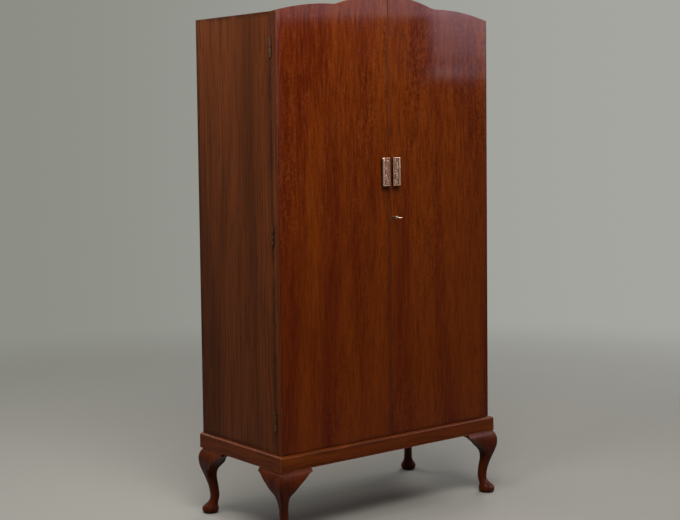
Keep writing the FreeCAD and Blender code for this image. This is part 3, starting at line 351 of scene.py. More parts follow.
# %% Node group: toned metal
metal_tree, metal_in, metal_out = new_group(
    "toned_metal",
    [("Place", "place", None), ("Seed", "value", 0.0), ("Bright", "colour", tone(190, 160, 110)),
     ("Tarnish", "colour", tone(80, 60, 42)), ("Tarnished", "value", 0.5), ("Roughness", "value", 0.3)],
    [("Color", "colour"), ("Roughness", "value"), ("Height", "value")])
metal_place = moved_by_seed(metal_tree, metal_in["Place"], (0.31, 0.17, 0.43), metal_in["Seed"])
tinted_area = spread(metal_tree, stretched_noise(metal_tree, metal_place, (70.0, 70.0, 70.0), 4.0, 0.6), 0.36, 0.66)
specks = spread(metal_tree, stretched_noise(metal_tree, metal_place, (900.0, 900.0, 900.0), 2.0, 0.6), 0.60, 0.70)
brushing = stretched_noise(metal_tree, metal_place, (2600.0, 2600.0, 120.0), 1.0)
tarnished = times(metal_tree, tinted_area, metal_in["Tarnished"])
tarnished = calculate(metal_tree, "MAXIMUM", tarnished, times(metal_tree, specks, metal_in["Tarnished"]))
metal_colour = blend_colours(metal_tree, tarnished, metal_in["Bright"], metal_in["Tarnish"])
metal_gloss = plus(metal_tree, metal_in["Roughness"], times(metal_tree, tarnished, 0.22))
metal_gloss = plus(metal_tree, metal_gloss, spread(metal_tree, brushing, 0.3, 0.7, -0.05, 0.05))
metal_height = minus(metal_tree, times(metal_tree, brushing, 0.2), specks)
finish_group(metal_tree, metal_out, {"Color": metal_colour, "Roughness": metal_gloss, "Height": metal_height})

# %% [markdown]
# The finish on such a wardrobe is a thin clear coat of polish over stained wood. One function makes every wooden
# material: it turns the grain the way the board was cut, grows the figure, lays the wear over it, and hands the
# result to the Principled shader. What differs from piece to piece is only the numbers, so they sit in one table.

# %% Wooden materials
finishes = {
    "front_veneer": dict(pale=tone(121, 51, 4), middle=tone(94, 28, 2), deep=tone(50, 11, 2), streaks=0.34,
                         per_metre=190.0, length=0.085, mottle=0.68, pores=0.6, gloss=0.07, relief=0.00004,
                         shine=0.10, edge=tone(140, 76, 48), edge_width=0.0018, wear=0.40, dark_edges=0.6, scuffs=0.3),
    "side_veneer": dict(pale=tone(114, 58, 26), middle=tone(84, 41, 17), deep=tone(50, 22, 9), streaks=0.60,
                        per_metre=140.0, length=0.40, mottle=0.10, pores=0.8, gloss=0.24, relief=0.00006,
                        shine=0.06, edge=tone(110, 66, 42), edge_width=0.0026, wear=0.2, dark_edges=1.0, scuffs=0.5),
    "solid_mahogany": dict(pale=tone(126, 60, 16), middle=tone(100, 41, 9), deep=tone(66, 22, 4), streaks=0.5,
                           per_metre=80.0, length=0.20, mottle=0.15, pores=0.9, gloss=0.24, relief=0.00008,
                           shine=0.08, edge=tone(180, 108, 60), edge_width=0.0022, wear=0.8, dark_edges=0.6, scuffs=0.6),
    "leg_mahogany": dict(pale=tone(100, 42, 14), middle=tone(76, 27, 9), deep=tone(46, 14, 6), streaks=0.5,
                         per_metre=80.0, length=0.14, mottle=0.15, pores=0.9, gloss=0.32, relief=0.00008,
                         shine=0.08, edge=tone(150, 92, 56), edge_width=0.0014, wear=0.4, dark_edges=0.5, scuffs=0.5),
    "inner_veneer": dict(pale=tone(150, 92, 52), middle=tone(128, 72, 38), deep=tone(96, 50, 26), streaks=0.4,
                         per_metre=60.0, length=0.40, mottle=0.10, pores=0.9, gloss=0.32, relief=0.00008,
                         shine=0.3, edge=tone(170, 110, 70), edge_width=0.0012, wear=0.4, dark_edges=0.4, scuffs=0.4),
    "top_wood": dict(pale=tone(116, 68, 36), middle=tone(96, 52, 26), deep=tone(70, 34, 16), streaks=0.4,
                     per_metre=60.0, length=0.40, mottle=0.10, pores=0.9, gloss=0.58, relief=0.00008,
                     shine=0.08, edge=tone(140, 86, 52), edge_width=0.0012, wear=0.4, dark_edges=0.2, scuffs=0.3),
    "inside_wood": dict(pale=tone(186, 136, 92), middle=tone(164, 112, 72), deep=tone(128, 82, 50), streaks=0.4,
                        per_metre=50.0, length=0.50, mottle=0.05, pores=0.9, gloss=0.42, relief=0.00012,
                        shine=0.3, edge=tone(196, 152, 110), edge_width=0.0012, wear=0.4, dark_edges=0.4, scuffs=0.6),
    "plywood": dict(pale=tone(206, 166, 120), middle=tone(186, 142, 98), deep=tone(150, 106, 68), streaks=0.35,
                    per_metre=14.0, length=0.80, mottle=0.05, pores=0.6, gloss=0.60, relief=0.00012,
                    shine=0.3, edge=tone(150, 112, 76), edge_width=0.0012, wear=0.3, dark_edges=0.5, scuffs=0.8),
}
finishes["matt_mahogany"] = dict(finishes["solid_mahogany"], gloss=0.7, shine=0.05, wear=0.5)
grain_turns = {"x": (0.0, math.pi / 2, 0.0), "y": (math.pi / 2, 0.0, 0.0), "z": (0.0, 0.0, 0.0)}


def new_material(name):
    material = bpy.data.materials.new(name)
    material.use_nodes = True
    tree = material.node_tree
    return material, tree, tree.nodes["Principled BSDF"], add_node(tree, "ShaderNodeTexCoord").outputs["Object"]


def use_group(tree, group, feeds):
    return add_node(tree, "ShaderNodeGroup", feeds, node_tree=group).outputs


def colour_and_gloss(tree, shader, colour, gloss):
    tree.links.new(colour, shader.inputs["Base Color"])
    tree.links.new(gloss, shader.inputs["Roughness"])


def raise_surface(tree, shader, height, distance, strength=0.6):
    bump = add_node(tree, "ShaderNodeBump", {"Height": height, "Distance": distance, "Strength": strength})
    tree.links.new(bump.outputs[0], shader.inputs["Normal"])


def figured(tree, place, finish, grain, seed, lively=1.0):
    turned = add_node(tree, "ShaderNodeMapping", {"Vector": place, "Rotation": grain_turns[grain]}).outputs[0]
    return use_group(tree, wood_tree, {
        "Grain": turned, "Seed": seed, "Pale": finish["pale"], "Middle": finish["middle"], "Deep": finish["deep"],
        "Streaks": finish["streaks"], "Streaks Per Metre": finish["per_metre"], "Streak Length": finish["length"],
        "Mottle": times(tree, lively, finish["mottle"]), "Pores": finish["pores"],
        "Roughness": finish["gloss"]})


def polish(tree, shader, place, finish, wood, seed, low, high):
    worn = use_group(tree, wear_tree, {
        "Place": place, "Centre": (low + high) / 2, "Half Size": (high - low) / 2, "Seed": seed,
        "Color": wood["Color"], "Roughness": wood["Roughness"], "Edge Colour": finish["edge"],
        "Edge Width": finish["edge_width"], "Edge Wear": finish["wear"], "Edge Darkening": finish["dark_edges"],
        "Scuffs": finish["scuffs"]})
    colour_and_gloss(tree, shader, worn["Color"], worn["Roughness"])
    shader.inputs["Specular IOR Level"].default_value = finish["shine"]
    raise_surface(tree, shader, plus(tree, wood["Height"], worn["Height"]), finish["relief"])


def wooden(name, kind, grain, seed, low, high):
    material, tree, shader, place = new_material(name)
    wood = figured(tree, place, finishes[kind], grain, seed)
    polish(tree, shader, place, finishes[kind], wood, seed, low, high)
    return material


print(len(finishes), "wood finishes")

# %% [markdown]
# A side of the case is stained outside and on its edges, and pale inside, where nobody polished it. Both woods are in
# one material, and how far out a point lies says which of them it is: only a thin skin on the inner face is pale.

# %% Material of the sides
skin_thickness = 0.0010


def laid_over(tree, mask, under, over):
    return {label: blend_colours(tree, mask, under[label], over[label]) for label in ("Color", "Roughness", "Height")}


def side_wood(name, seed, low, high):
    material, tree, shader, place = new_material(name)
    outward = calculate(tree, "ABSOLUTE", parts_of(tree, place)[0])
    inner_face = min(abs(low.x), abs(high.x))
    in_outer = spread(tree, outward, inner_face + 0.4 * skin_thickness, inner_face + 0.7 * skin_thickness)
    wood = laid_over(tree, in_outer, figured(tree, place, finishes["inside_wood"], "z", seed + 0.7),
                     figured(tree, place, finishes["side_veneer"], "z", seed))
    polish(tree, shader, place, finishes["side_veneer"], wood, seed, low, high)
    return material


print("veneer is", 1000 * skin_thickness, "mm thick")

# %% [markdown]
# A flush door has figured veneer on its face, plain solid lipping round its edges, and a plainer veneer inside. Here
# it is how far back a point lies that says which of the three it is. The mottle is liveliest in the upper half, where
# the leaves of veneer came from nearest the crotch of the tree. Near the outer edge and high up, the face is mixed in
# streaks towards a faint rose, a painted sheen that stands in for light caught in the polish.

# %% Material of the doors
matt_edge = (0.85, 0.85, 0.85, 1.0)
sheen_reach = 0.020
sheen_start_height = 0.9
# Colour of the painted sheen near the doors' outer edges.
painted_sheen_rose = tone(124, 72, 68)
lively_low = 0.7
lively_high = 1.35


def door_wood(name, seed, low, high):
    material, tree, shader, place = new_material(name)
    across, back, height = parts_of(tree, place)
    lively = spread(tree, height, lively_low, lively_high, 0.45, 1.0)
    face = figured(tree, place, finishes["front_veneer"], "z", seed, lively)
    lipping = figured(tree, place, finishes["side_veneer"], "z", seed + 0.5)
    inner = figured(tree, place, finishes["inner_veneer"], "z", seed + 0.7)
    in_lipping = spread(tree, back, low.y + 0.8 * skin_thickness, low.y + 1.2 * skin_thickness)
    in_inner = spread(tree, back, high.y - 0.7 * skin_thickness, high.y - 0.4 * skin_thickness)
    outward = calculate(tree, "ABSOLUTE", across)
    outer_edge = max(abs(low.x), abs(high.x))
    # Near the outer edge and high up the face gets a painted sheen of faint rose, in streaks.
    tinted_area = times(tree, spread(tree, outward, outer_edge - sheen_reach, outer_edge),
                  spread(tree, height, sheen_start_height, high.z))
    streaky = spread(tree, stretched_noise(tree, place, (180.0, 180.0, 14.0), 2.0), 0.38, 0.62, 0.15, 0.75)
    sheened_face = blend_colours(tree, times(tree, tinted_area, streaky), face["Color"], painted_sheen_rose)
    face = {"Color": sheened_face, "Roughness": face["Roughness"], "Height": face["Height"]}
    lipping = {"Color": lipping["Color"], "Roughness": matt_edge, "Height": lipping["Height"]}
    wood = laid_over(tree, in_inner, laid_over(tree, in_lipping, face, lipping), inner)
    polish(tree, shader, place, finishes["front_veneer"], wood, seed, low, high)
    return material


print("doors are livelier between", lively_low, "and", lively_high, "m")

# %% [markdown]
# Every board gets its own copy of its finish, with its own seed, so that no two boards show the same figure. The
# table says which finish a board has and which way its grain runs: up the doors, sides and legs, along the rails and
# shelves, and front to back on the short side rails.

# %% Give every wooden board its finish
board_rows = (
    ("front_veneer", "z", ("left_door_panel", "right_door_panel")),
    ("side_veneer", "z", ("left_side_panel", "right_side_panel")),
    ("matt_mahogany", "x", ("head_rail",)),
    ("solid_mahogany", "x", ("base_front_rail", "base_back_rail")),
    ("solid_mahogany", "y", ("base_left_rail", "base_right_rail")),
    ("leg_mahogany", "z", ("leg_front_left", "leg_front_right", "leg_back_left", "leg_back_right",
                           "leg_ears_front", "leg_ears_back")),
    ("top_wood", "x", ("top_board",)),
    ("inside_wood", "x", ("bottom_board",)),
    ("inside_wood", "z", ("partition",)),
    ("inside_wood", "x", ("hat_shelf", "shelf_lips")),
    ("inside_wood", "y", ("shelf_bearers",)),
    ("inside_wood", "x", ("base_corner_blocks",)),
    ("plywood", "z", ("back_panel",)),
    ("inside_wood", "x", ("base_front_batten", "shelf_1", "shelf_2", "shelf_3", "shelf_4", "shelf_5")),
)
boards = [(node_name, kind, grain) for kind, grain, node_names in board_rows for node_name in node_names]


def set_material(piece, material):
    piece.data.materials.clear()
    piece.data.materials.append(material)


for seed, (node_name, kind, grain) in enumerate(boards, start=1):
    low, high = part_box(node_name)
    if kind == "front_veneer":
        material = door_wood(node_name + "_wood", float(seed), low, high)
    elif kind == "side_veneer":
        material = side_wood(node_name + "_wood", float(seed), low, high)
    else:
        material = wooden(node_name + "_wood", kind, grain, float(seed), low, high)
    set_material(frame["nodes"][node_name], material)
print(len(boards), "boards finished")

# %% [markdown]
# The pulls are cast brass with a brown tone, the hinges and small plates are plain brass that has dulled, and the
# lock and screws are steel. All are one group with other numbers. A metal's colour is the colour of its reflection,
# so these colours are paler than the metal looks in dim light.

# %% Metal materials
metals = {
    "antique_brass": dict(bright=tone(208, 176, 148), tarnish=tone(122, 90, 72), tarnished=0.55, gloss=0.27),
    "hardware_brass": dict(bright=tone(204, 172, 112), tarnish=tone(122, 92, 56), tarnished=0.60, gloss=0.32),
    "hinge_brass": dict(bright=tone(138, 106, 80), tarnish=tone(44, 30, 22), tarnished=1.00, gloss=0.34),
    "keyhole_brass": dict(bright=tone(110, 72, 46), tarnish=tone(58, 34, 22), tarnished=0.90, gloss=0.40),
    "lock_steel": dict(bright=tone(186, 182, 172), tarnish=tone(110, 100, 88), tarnished=0.45, gloss=0.28),
    "screw_steel": dict(bright=tone(168, 164, 156), tarnish=tone(92, 82, 72), tarnished=0.55, gloss=0.34),
}


def metallic(name, kind, seed):
    numbers = metals[kind]
    material, tree, shader, place = new_material(name)
    metal = use_group(tree, metal_tree, {
        "Place": place, "Seed": seed, "Bright": numbers["bright"], "Tarnish": numbers["tarnish"],
        "Tarnished": numbers["tarnished"], "Roughness": numbers["gloss"]})
    shader.inputs["Metallic"].default_value = 1.0
    colour_and_gloss(tree, shader, metal["Color"], metal["Roughness"])
    raise_surface(tree, shader, metal["Height"], 0.00006)
    return material, tree, shader, place, metal


metal_looks = {kind: metallic(kind, kind, float(seed))[0] for seed, kind in enumerate(metals)}
slots = {part["node"]: part["material_slot"] for part in frame["record"]["subparts"]}
fitted = [name for name, kind in slots.items() if kind in metal_looks]
for node_name in fitted:
    kind = "hinge_brass" if "hinge" in node_name else slots[node_name]
    kind = "keyhole_brass" if node_name == "escutcheon" else kind
    set_material(frame["nodes"][node_name], metal_looks[kind])
print(len(fitted), "metal pieces finished")

# %% [markdown]
# The dressing mirror is silvered glass. Damp creeps in from its edges and clouds the silver, so the material is a
# clean metal-like mirror with grey, rougher blooms that gather near the rim of its box.

# %% Mirror material
mirror_low, mirror_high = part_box("dressing_mirror")
mirror_look, mirror_net, mirror_shader, mirror_place = new_material("silvered_glass")
mirror_wear = use_group(mirror_net, wear_tree, {
    "Place": mirror_place, "Centre": (mirror_low + mirror_high) / 2, "Half Size": (mirror_high - mirror_low) / 2,
    "Seed": 3.0, "Color": tone(226, 230, 230), "Roughness": 0.03, "Edge Width": 0.0024,
    "Edge Colour": tone(150, 148, 142), "Edge Wear": 0.4, "Edge Darkening": 0.2, "Scuffs": 0.2})
mirror_shader.inputs["Metallic"].default_value = 1.0
mirror_gloss = calculate(mirror_net, "MAXIMUM", mirror_wear["Roughness"], 0.02)
colour_and_gloss(mirror_net, mirror_shader, mirror_wear["Color"], mirror_gloss)
set_material(frame["nodes"]["dressing_mirror"], mirror_look)
print("mirror", [round(value, 3) for value in mirror_high - mirror_low])

# %% [markdown]
# The pulls and the key are too fine for the construction model, so they are modelled here by hand: a primitive is set
# in place, then pushed and pulled in edit mode. Edit mode acts on what is selected, so these helpers clear the
# selection, pick faces or edges by where they are, extrude, resize about a point, close a finished piece, join
# several, and copy one.

# %% Hand tools for modelling
def start_clean():
    if bpy.context.object and bpy.context.object.mode == "EDIT":
        bpy.ops.object.mode_set(mode="OBJECT")
    bpy.ops.object.select_all(action="DESELECT")


def select_where(kind, test):
    bpy.ops.mesh.select_mode(type=kind)
    bpy.ops.mesh.select_all(action="DESELECT")
    form = bmesh.from_edit_mesh(bpy.context.object.data)
    for element in {"VERT": form.verts, "EDGE": form.edges, "FACE": form.faces}[kind]:
        if test(element):
            element.select_set(True)
    form.select_flush_mode()
    bmesh.update_edit_mesh(bpy.context.object.data)


def draw_out(x, y, z):
    bpy.ops.mesh.extrude_region_move(TRANSFORM_OT_translate={"value": (x, y, z)})


def resize(about, x, y, z):
    bpy.ops.transform.resize(value=(x, y, z), center_override=about)


def close_piece(name, smooth_angle=35):
    bpy.ops.mesh.select_all(action="SELECT")
    bpy.ops.mesh.remove_doubles(threshold=1e-6)
    bpy.ops.mesh.normals_make_consistent(inside=False)
    bpy.ops.object.mode_set(mode="OBJECT")
    piece = bpy.context.object
    piece.name = name
    bpy.ops.object.transform_apply(location=True, rotation=True, scale=True)
    bpy.ops.object.shade_smooth_by_angle(angle=math.radians(smooth_angle))
    return piece


def join_pieces(name, pieces):
    start_clean()
    for piece in pieces:
        piece.select_set(True)
    bpy.context.view_layer.objects.active = pieces[0]
    bpy.ops.object.join()
    pieces[0].name = name
    return pieces[0]


def copy_piece(piece):
    start_clean()
    piece.select_set(True)
    bpy.context.view_layer.objects.active = piece
    bpy.ops.object.duplicate()
    bpy.ops.object.mode_set(mode="EDIT")
    bpy.ops.mesh.select_all(action="SELECT")


def count_faces(piece):
    print(piece.name, "has", len(piece.data.polygons), "faces")


print("hand tools ready")

# %% [markdown]
# Each pull is a cast plate on a waist and a foot, with a sunk panel inside a raised rim. It could be cut out of a
# block, but a caster's pattern grows from the foot, and so does this one: one face is drawn out, resized and drawn
# out again, then inset for the rim, the bead and the ground.

# %% Plate of the pull
pull_low, pull_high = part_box("right_handle")
roll_radius = 0.004
roll_rise = 0.0015
plate_front = pull_low.y + roll_rise
plate_thickness = 0.004
foot_margin = 0.005
foot_thickness = 0.002
waist_width = 0.016
waist_margin = 0.009
rim_width = 0.0017
panel_sink = 0.0012
bead_gap = 0.0006
bead_width = 0.0007
bead_height = 0.0007
rim_rounding = 0.0006
near = 1e-5
pull_middle = (pull_low + pull_high) / 2
pull_size = pull_high - pull_low
foot_size = Vector((pull_size.x - 2 * foot_margin, foot_thickness, pull_size.z - 2 * foot_margin))
waist_size = Vector((waist_width, 0, pull_size.z - 2 * waist_margin))
waist_depth = pull_high.y - foot_thickness - (plate_front + plate_thickness)
foot_middle = Vector((pull_middle.x, pull_high.y - foot_thickness / 2, pull_middle.z))


def on_front(edge):
    return all(abs(vertex.co.y + foot_middle.y - plate_front) < near for vertex in edge.verts)


start_clean()
bpy.ops.mesh.primitive_cube_add(size=1, location=foot_middle)
bpy.ops.object.mode_set(mode="EDIT")
resize(foot_middle, *foot_size)
select_where("FACE", lambda face: face.normal.y < -0.9)
draw_out(0, 0, 0)
resize(foot_middle, waist_size.x / foot_size.x, 1, waist_size.z / foot_size.z)
draw_out(0, -waist_depth, 0)
draw_out(0, 0, 0)
resize(pull_middle, pull_size.x / waist_size.x, 1, pull_size.z / waist_size.z)
draw_out(0, -plate_thickness, 0)
bpy.ops.mesh.inset(thickness=rim_width)
draw_out(0, panel_sink, 0)
bpy.ops.mesh.inset(thickness=bead_gap)
draw_out(0, -bead_height, 0)
bpy.ops.mesh.inset(thickness=bead_width)
draw_out(0, bead_height, 0)
select_where("EDGE", on_front)
bpy.ops.mesh.bevel(offset=rim_rounding, segments=3, affect="EDGES")
plate = close_piece("pull_plate")
count_faces(plate)

# %% [markdown]
# The outer edge of the plate is rolled over into a thick lip for the fingers. A rolled lip is a rod with rounded
# ends, so a disc is drawn out along the plate and shrunk in three steps at each end.

# %% Rolled edge of the pull
dome_steps = ((0.0011, 0.97), (0.0009, 0.86), (0.0006, 0.66))
dome_length = sum(step for step, share in dome_steps)
roll_x = pull_high.x - roll_radius
roll_y = pull_low.y + roll_radius
roll_start = Vector((roll_x, roll_y, pull_low.z + dome_length))
start_clean()
bpy.ops.mesh.primitive_circle_add(vertices=28, radius=roll_radius, fill_type="NGON", location=roll_start)
bpy.ops.object.mode_set(mode="EDIT")
bpy.ops.mesh.select_all(action="SELECT")
draw_out(0, 0, pull_size.z - 2 * dome_length)
for way in (1, -1):
    end_z = (pull_size.z - 2 * dome_length) if way > 0 else 0.0
    select_where("FACE", lambda face: len(face.verts) > 8 and abs(face.calc_center_median().z - end_z) < near)
    last_share = 1.0
    for step, share in dome_steps:
        draw_out(0, 0, way * step)
        end_z += way * step
        resize(roll_start, share / last_share, share / last_share, 1)
        last_share = share
roll = close_piece("pull_roll", 50)
count_faces(roll)

# %% [markdown]
# The panel carries a running scroll: a stem that winds up the plate and curls round five small flowers. The scroll
# could be a bump in the material, but it is thick enough to catch the light, so it is real relief. A flower is a
# round boss among six petals. One petal is modelled, and its copies are moved round the boss and turned.

# %% One petal, one flower
ground_y = plate_front + panel_sink
panel_x = (pull_low.x + rim_width + roll_x - roll_radius) / 2
flower_step = pull_size.z / 5.7
relief = 0.0014
boss_size = (0.0026, 2.4 * relief, 0.0026)
petal_size = (0.0021, 1.7 * relief, 0.0030)
petal_count = 6
petal_reach = 0.0023
pebble_smooth = 80


def pebble(name, middle, size, turn=0.0):
    start_clean()
    bpy.ops.mesh.primitive_uv_sphere_add(segments=10, ring_count=6, radius=0.5, location=middle)
    bpy.ops.object.mode_set(mode="EDIT")
    resize(middle, *size)
    select_where("VERT", lambda vertex: vertex.co.z > 0.2 * size[2])
    resize(middle + Vector((0, 0, size[2] / 2)), 0.62, 0.8, 1)
    bpy.ops.mesh.select_all(action="SELECT")
    bpy.ops.transform.rotate(value=turn, orient_axis="Y", center_override=middle)
    return close_piece(name, pebble_smooth)


def flower(middle):
    boss = pebble("boss", middle, boss_size)
    top_place = middle + Vector((0, 0, petal_reach))
    petals = [pebble("petal", top_place, petal_size)]
    for number in range(1, petal_count):
        angle = number * 2 * math.pi / petal_count
        place = middle + petal_reach * Vector((math.sin(angle), 0, math.cos(angle)))
        copy_piece(petals[0])
        bpy.ops.transform.translate(value=place - top_place)
        bpy.ops.transform.rotate(value=angle, orient_axis="Y", center_override=place)
        petals.append(close_piece("petal", pebble_smooth))
    return [boss] + petals


print("one flower every", round(1000 * flower_step, 1), "mm")

# %% [markdown]
# The stem is drawn as a line of points that runs round the flower and closes in a little, thickest half way, and the
# line is given a round section. Two leaves fill the corners between one flower and the next.

# %% Curl and leaves
curl_steps = 16
curl_start_radius = 0.0066
curl_closes_by = 0.0029
curl_height_share = 1.18
curl_thickness = 0.0009
leaf_size = (0.0024, 1.7 * relief, 0.0048)
leaf_reach = 0.0052


def wire(name, points, thickness, radii):
    start_clean()
    bpy.ops.curve.primitive_nurbs_path_add()
    path = bpy.context.object
    spline = path.data.splines[0]
    spline.points.add(len(points) - len(spline.points))
    for point, place, radius in zip(spline.points, points, radii):
        point.co = (*place, 1.0)
        point.radius = radius
    spline.order_u = 4
    spline.use_endpoint_u = True
    path.data.bevel_depth = thickness
    path.data.bevel_resolution = 2
    path.data.resolution_u = 3
    path.data.use_fill_caps = True
    bpy.ops.object.convert(target="MESH")
    bpy.ops.object.mode_set(mode="EDIT")
    return close_piece(name, 60)


def curl(middle):
    points = []
    radii = []
    for step in range(curl_steps + 1):
        share = step / curl_steps
        angle = math.radians(-165 + 335 * share)
        radius = curl_start_radius - curl_closes_by * share
        points.append((middle.x - radius * math.cos(angle), ground_y - 0.0003,
                       middle.z + curl_height_share * radius * math.sin(angle)))
        radii.append(0.75 + 0.5 * math.sin(math.pi * share))
    return wire("curl", points, curl_thickness, radii)


def scroll_unit(middle):
    pieces = flower(middle) + [curl(middle)]
    for lift, turn in ((0.0062, 0.7), (-0.0066, 2.2)):
        pieces.append(pebble("leaf", middle + Vector((-leaf_reach, 0, lift)), leaf_size, turn))
    return join_pieces("scroll_unit", pieces)


print("curl drawn through", curl_steps + 1, "points")

# %% [markdown]
# The middle flower with its curl and leaves is modelled, and the other four are copies of it. Every second one is
# turned over, so that the stem winds from side to side. Turning a copy over turns its faces inside out, so they are
# set right again.

# %% Scroll of five flowers
flower_middle_x = panel_x + 0.0012
flower_sway = 0.0016
middle_unit = scroll_unit(Vector((flower_middle_x - flower_sway, ground_y, pull_middle.z)))
units = [middle_unit]
for steps_up in (2, 1, -1, -2):
    copy_piece(middle_unit)
    bpy.ops.transform.translate(value=(0, 0, steps_up * flower_step))
    if steps_up % 2:
        resize(Vector((flower_middle_x, 0, 0)), -1, 1, 1)
        bpy.ops.mesh.normals_make_consistent(inside=False)
    bpy.ops.object.mode_set(mode="OBJECT")
    units.append(bpy.context.object)
scroll = join_pieces("pull_scroll", units)
count_faces(scroll)

# %% [markdown]
# The left pull is the right one seen in a glass: the rolled edges of the two face away from the seam. A mirrored copy
# has its faces turned inside out, so its normals are set right again afterwards.

# %% The pair of pulls
right_pull = join_pieces("right_pull", [plate, roll, scroll])
copy_piece(right_pull)
resize(Vector((0, 0, 0)), -1, 1, 1)
left_pull = close_piece("left_pull")
print("pulls are", [round(1000 * value, 1) for value in pull_size], "mm")

# %% [markdown]
# Fingers rub the tops of the scroll bright, and never reach the ground between, which stays brown. Both are a matter
# of depth on this piece, so how far forward a point lies mixes those two colours over the toned brass.

# %% Toned brass of the pulls
pull_look, pull_net, pull_shader, pull_place, pull_metal = metallic("pull_brass", "antique_brass", 9.0)
depth = parts_of(pull_net, pull_place)[1]
recess = spread(pull_net, depth, ground_y - 0.0004, ground_y, 0.0, 0.75)
rubbed_top = spread(pull_net, depth, ground_y - 0.0020, ground_y - 0.0010, 0.85, 0.0)
recess_brown = tone(92, 66, 56)
rubbed_brass = tone(248, 214, 188)
pull_colour = blend_colours(pull_net, recess, pull_metal["Color"], recess_brown)
pull_colour = blend_colours(pull_net, rubbed_top, pull_colour, rubbed_brass)
pull_gloss = minus(pull_net, pull_metal["Roughness"], times(pull_net, rubbed_top, 0.12))
colour_and_gloss(pull_net, pull_shader, pull_colour, pull_gloss)
for pull, node_name, body in ((right_pull, "right_handle", "right_door"), (left_pull, "left_handle", "left_door")):
    set_material(pull, pull_look)
    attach(pull, body)
    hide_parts(node_name)
    count_faces(pull)

# %% [markdown]
# A key like this is made from a rod turned in a lathe, with a ring brazed on one end and a flat bit on the other. The
# turned parts are modelled as a lathe would make them: a disc is drawn out along the key and resized wherever the
# radius changes. The ring starts as a torus and is pressed a little flatter.

# %% Key
key_low, key_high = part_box("key")
bow_radius = 0.0075
bow_wire = 0.0020
bow_flatness = 0.75
key_below_bolt = 0.0046
key_x = key_low.x + bow_radius + bow_wire
key_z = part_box("lock_bolt")[0].z - key_below_bolt
bow_middle = Vector((key_x, key_low.y + bow_radius + bow_wire, key_z))
shank_radius = 0.0026
shank_profile = ((0.0, 0.0020), (0.0012, 0.0030), (0.0022, 0.0030), (0.0030, 0.0024), (0.0062, shank_radius),
                 (0.0064, 0.0036), (0.0070, 0.0042), (0.0082, 0.0042), (0.0088, 0.0036), (0.0092, shank_radius))


def turned(name, start, profile, end_y):
    start_clean()
    bpy.ops.mesh.primitive_circle_add(vertices=24, radius=profile[0][1], fill_type="NGON", location=start,
                                      rotation=(math.pi / 2, 0, 0))
    bpy.ops.object.mode_set(mode="EDIT")
    bpy.ops.mesh.select_all(action="SELECT")
    last_along, last_radius = profile[0]
    for along, radius in profile[1:]:
        draw_out(0, along - last_along, 0)
        resize(start, radius / last_radius, 1, radius / last_radius)
        last_along, last_radius = along, radius
    draw_out(0, end_y - start.y - last_along, 0)
    return close_piece(name)


start_clean()
bpy.ops.mesh.primitive_torus_add(major_radius=bow_radius, minor_radius=bow_wire, major_segments=40,
                                 minor_segments=14, location=bow_middle)
bpy.ops.object.mode_set(mode="EDIT")
bpy.ops.mesh.select_all(action="SELECT")
resize(bow_middle, 1, 1, bow_flatness)
bow = close_piece("bow", 80)
shank_start = Vector((key_x, bow_middle.y + bow_radius, key_z))
shank = turned("shank", shank_start, shank_profile, key_high.y)
count_faces(shank)

# %% [markdown]
# The bit is the flat tongue that moves the bolt. Its two broad faces are hollowed, so that it passes the wards of the
# lock. For that each of them is inset, and the two inner faces are pressed towards each other.

# %% Bit of the key
bit_length = 0.0060
bit_width = 0.0024
bit_end_gap = 0.001
bit_rim = 0.0016
bit_middle_share = 0.55
bit_middle = Vector(((key_x + key_high.x) / 2, key_high.y - bit_end_gap - bit_length / 2, key_z))
start_clean()
bpy.ops.mesh.primitive_cube_add(size=1, location=bit_middle)
bpy.ops.object.mode_set(mode="EDIT")
resize(bit_middle, key_high.x - key_x, bit_length, bit_width)
select_where("FACE", lambda face: abs(face.normal.z) > 0.9)
bpy.ops.mesh.inset(thickness=bit_rim, use_individual=True)
resize(bit_middle, 1, 1, bit_middle_share)
bit = close_piece("bit")
key_piece = join_pieces("door_key", [shank, bow, bit])
count_faces(key_piece)

# %% [markdown]
# A key that is used every day is brightest at its bow, where it is held, and duller along the shank.

# %% Steel of the key
fingered_colour = tone(255, 236, 206)
key_look, key_net, key_shader, key_place, key_metal = metallic("key_metal", "lock_steel", 12.0)
key_along = parts_of(key_net, key_place)[1]
fingered = spread(key_net, key_along, bow_middle.y + 0.4 * bow_radius, shank_start.y + 0.002, 0.9, 0.0)
key_colour = blend_colours(key_net, fingered, key_metal["Color"], fingered_colour)
colour_and_gloss(key_net, key_shader, key_colour, key_metal["Roughness"])
set_material(key_piece, key_look)
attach(key_piece, "key")
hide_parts("key")
print("key", [round(value, 4) for value in key_low], [round(value, 4) for value in key_high])

# %% [markdown]
# The wardrobe stands on a plain pale floor. The floor is a disc that thins out to nothing far from the legs, so it
# meets the background without a hard horizon, and it keeps the soft shadow under the base. It is pale where it is
# looked at, and a duller tone where it only throws light back up, so that the legs and the lower doors stay deep.

# %% Floor
def looked_at(tree):
    rays = add_node(tree, "ShaderNodeLightPath").outputs
    straight_or_mirrored = calculate(tree, "MAXIMUM", rays["Is Camera Ray"], rays["Is Glossy Ray"])
    return calculate(tree, "MAXIMUM", straight_or_mirrored, rays["Is Transmission Ray"])


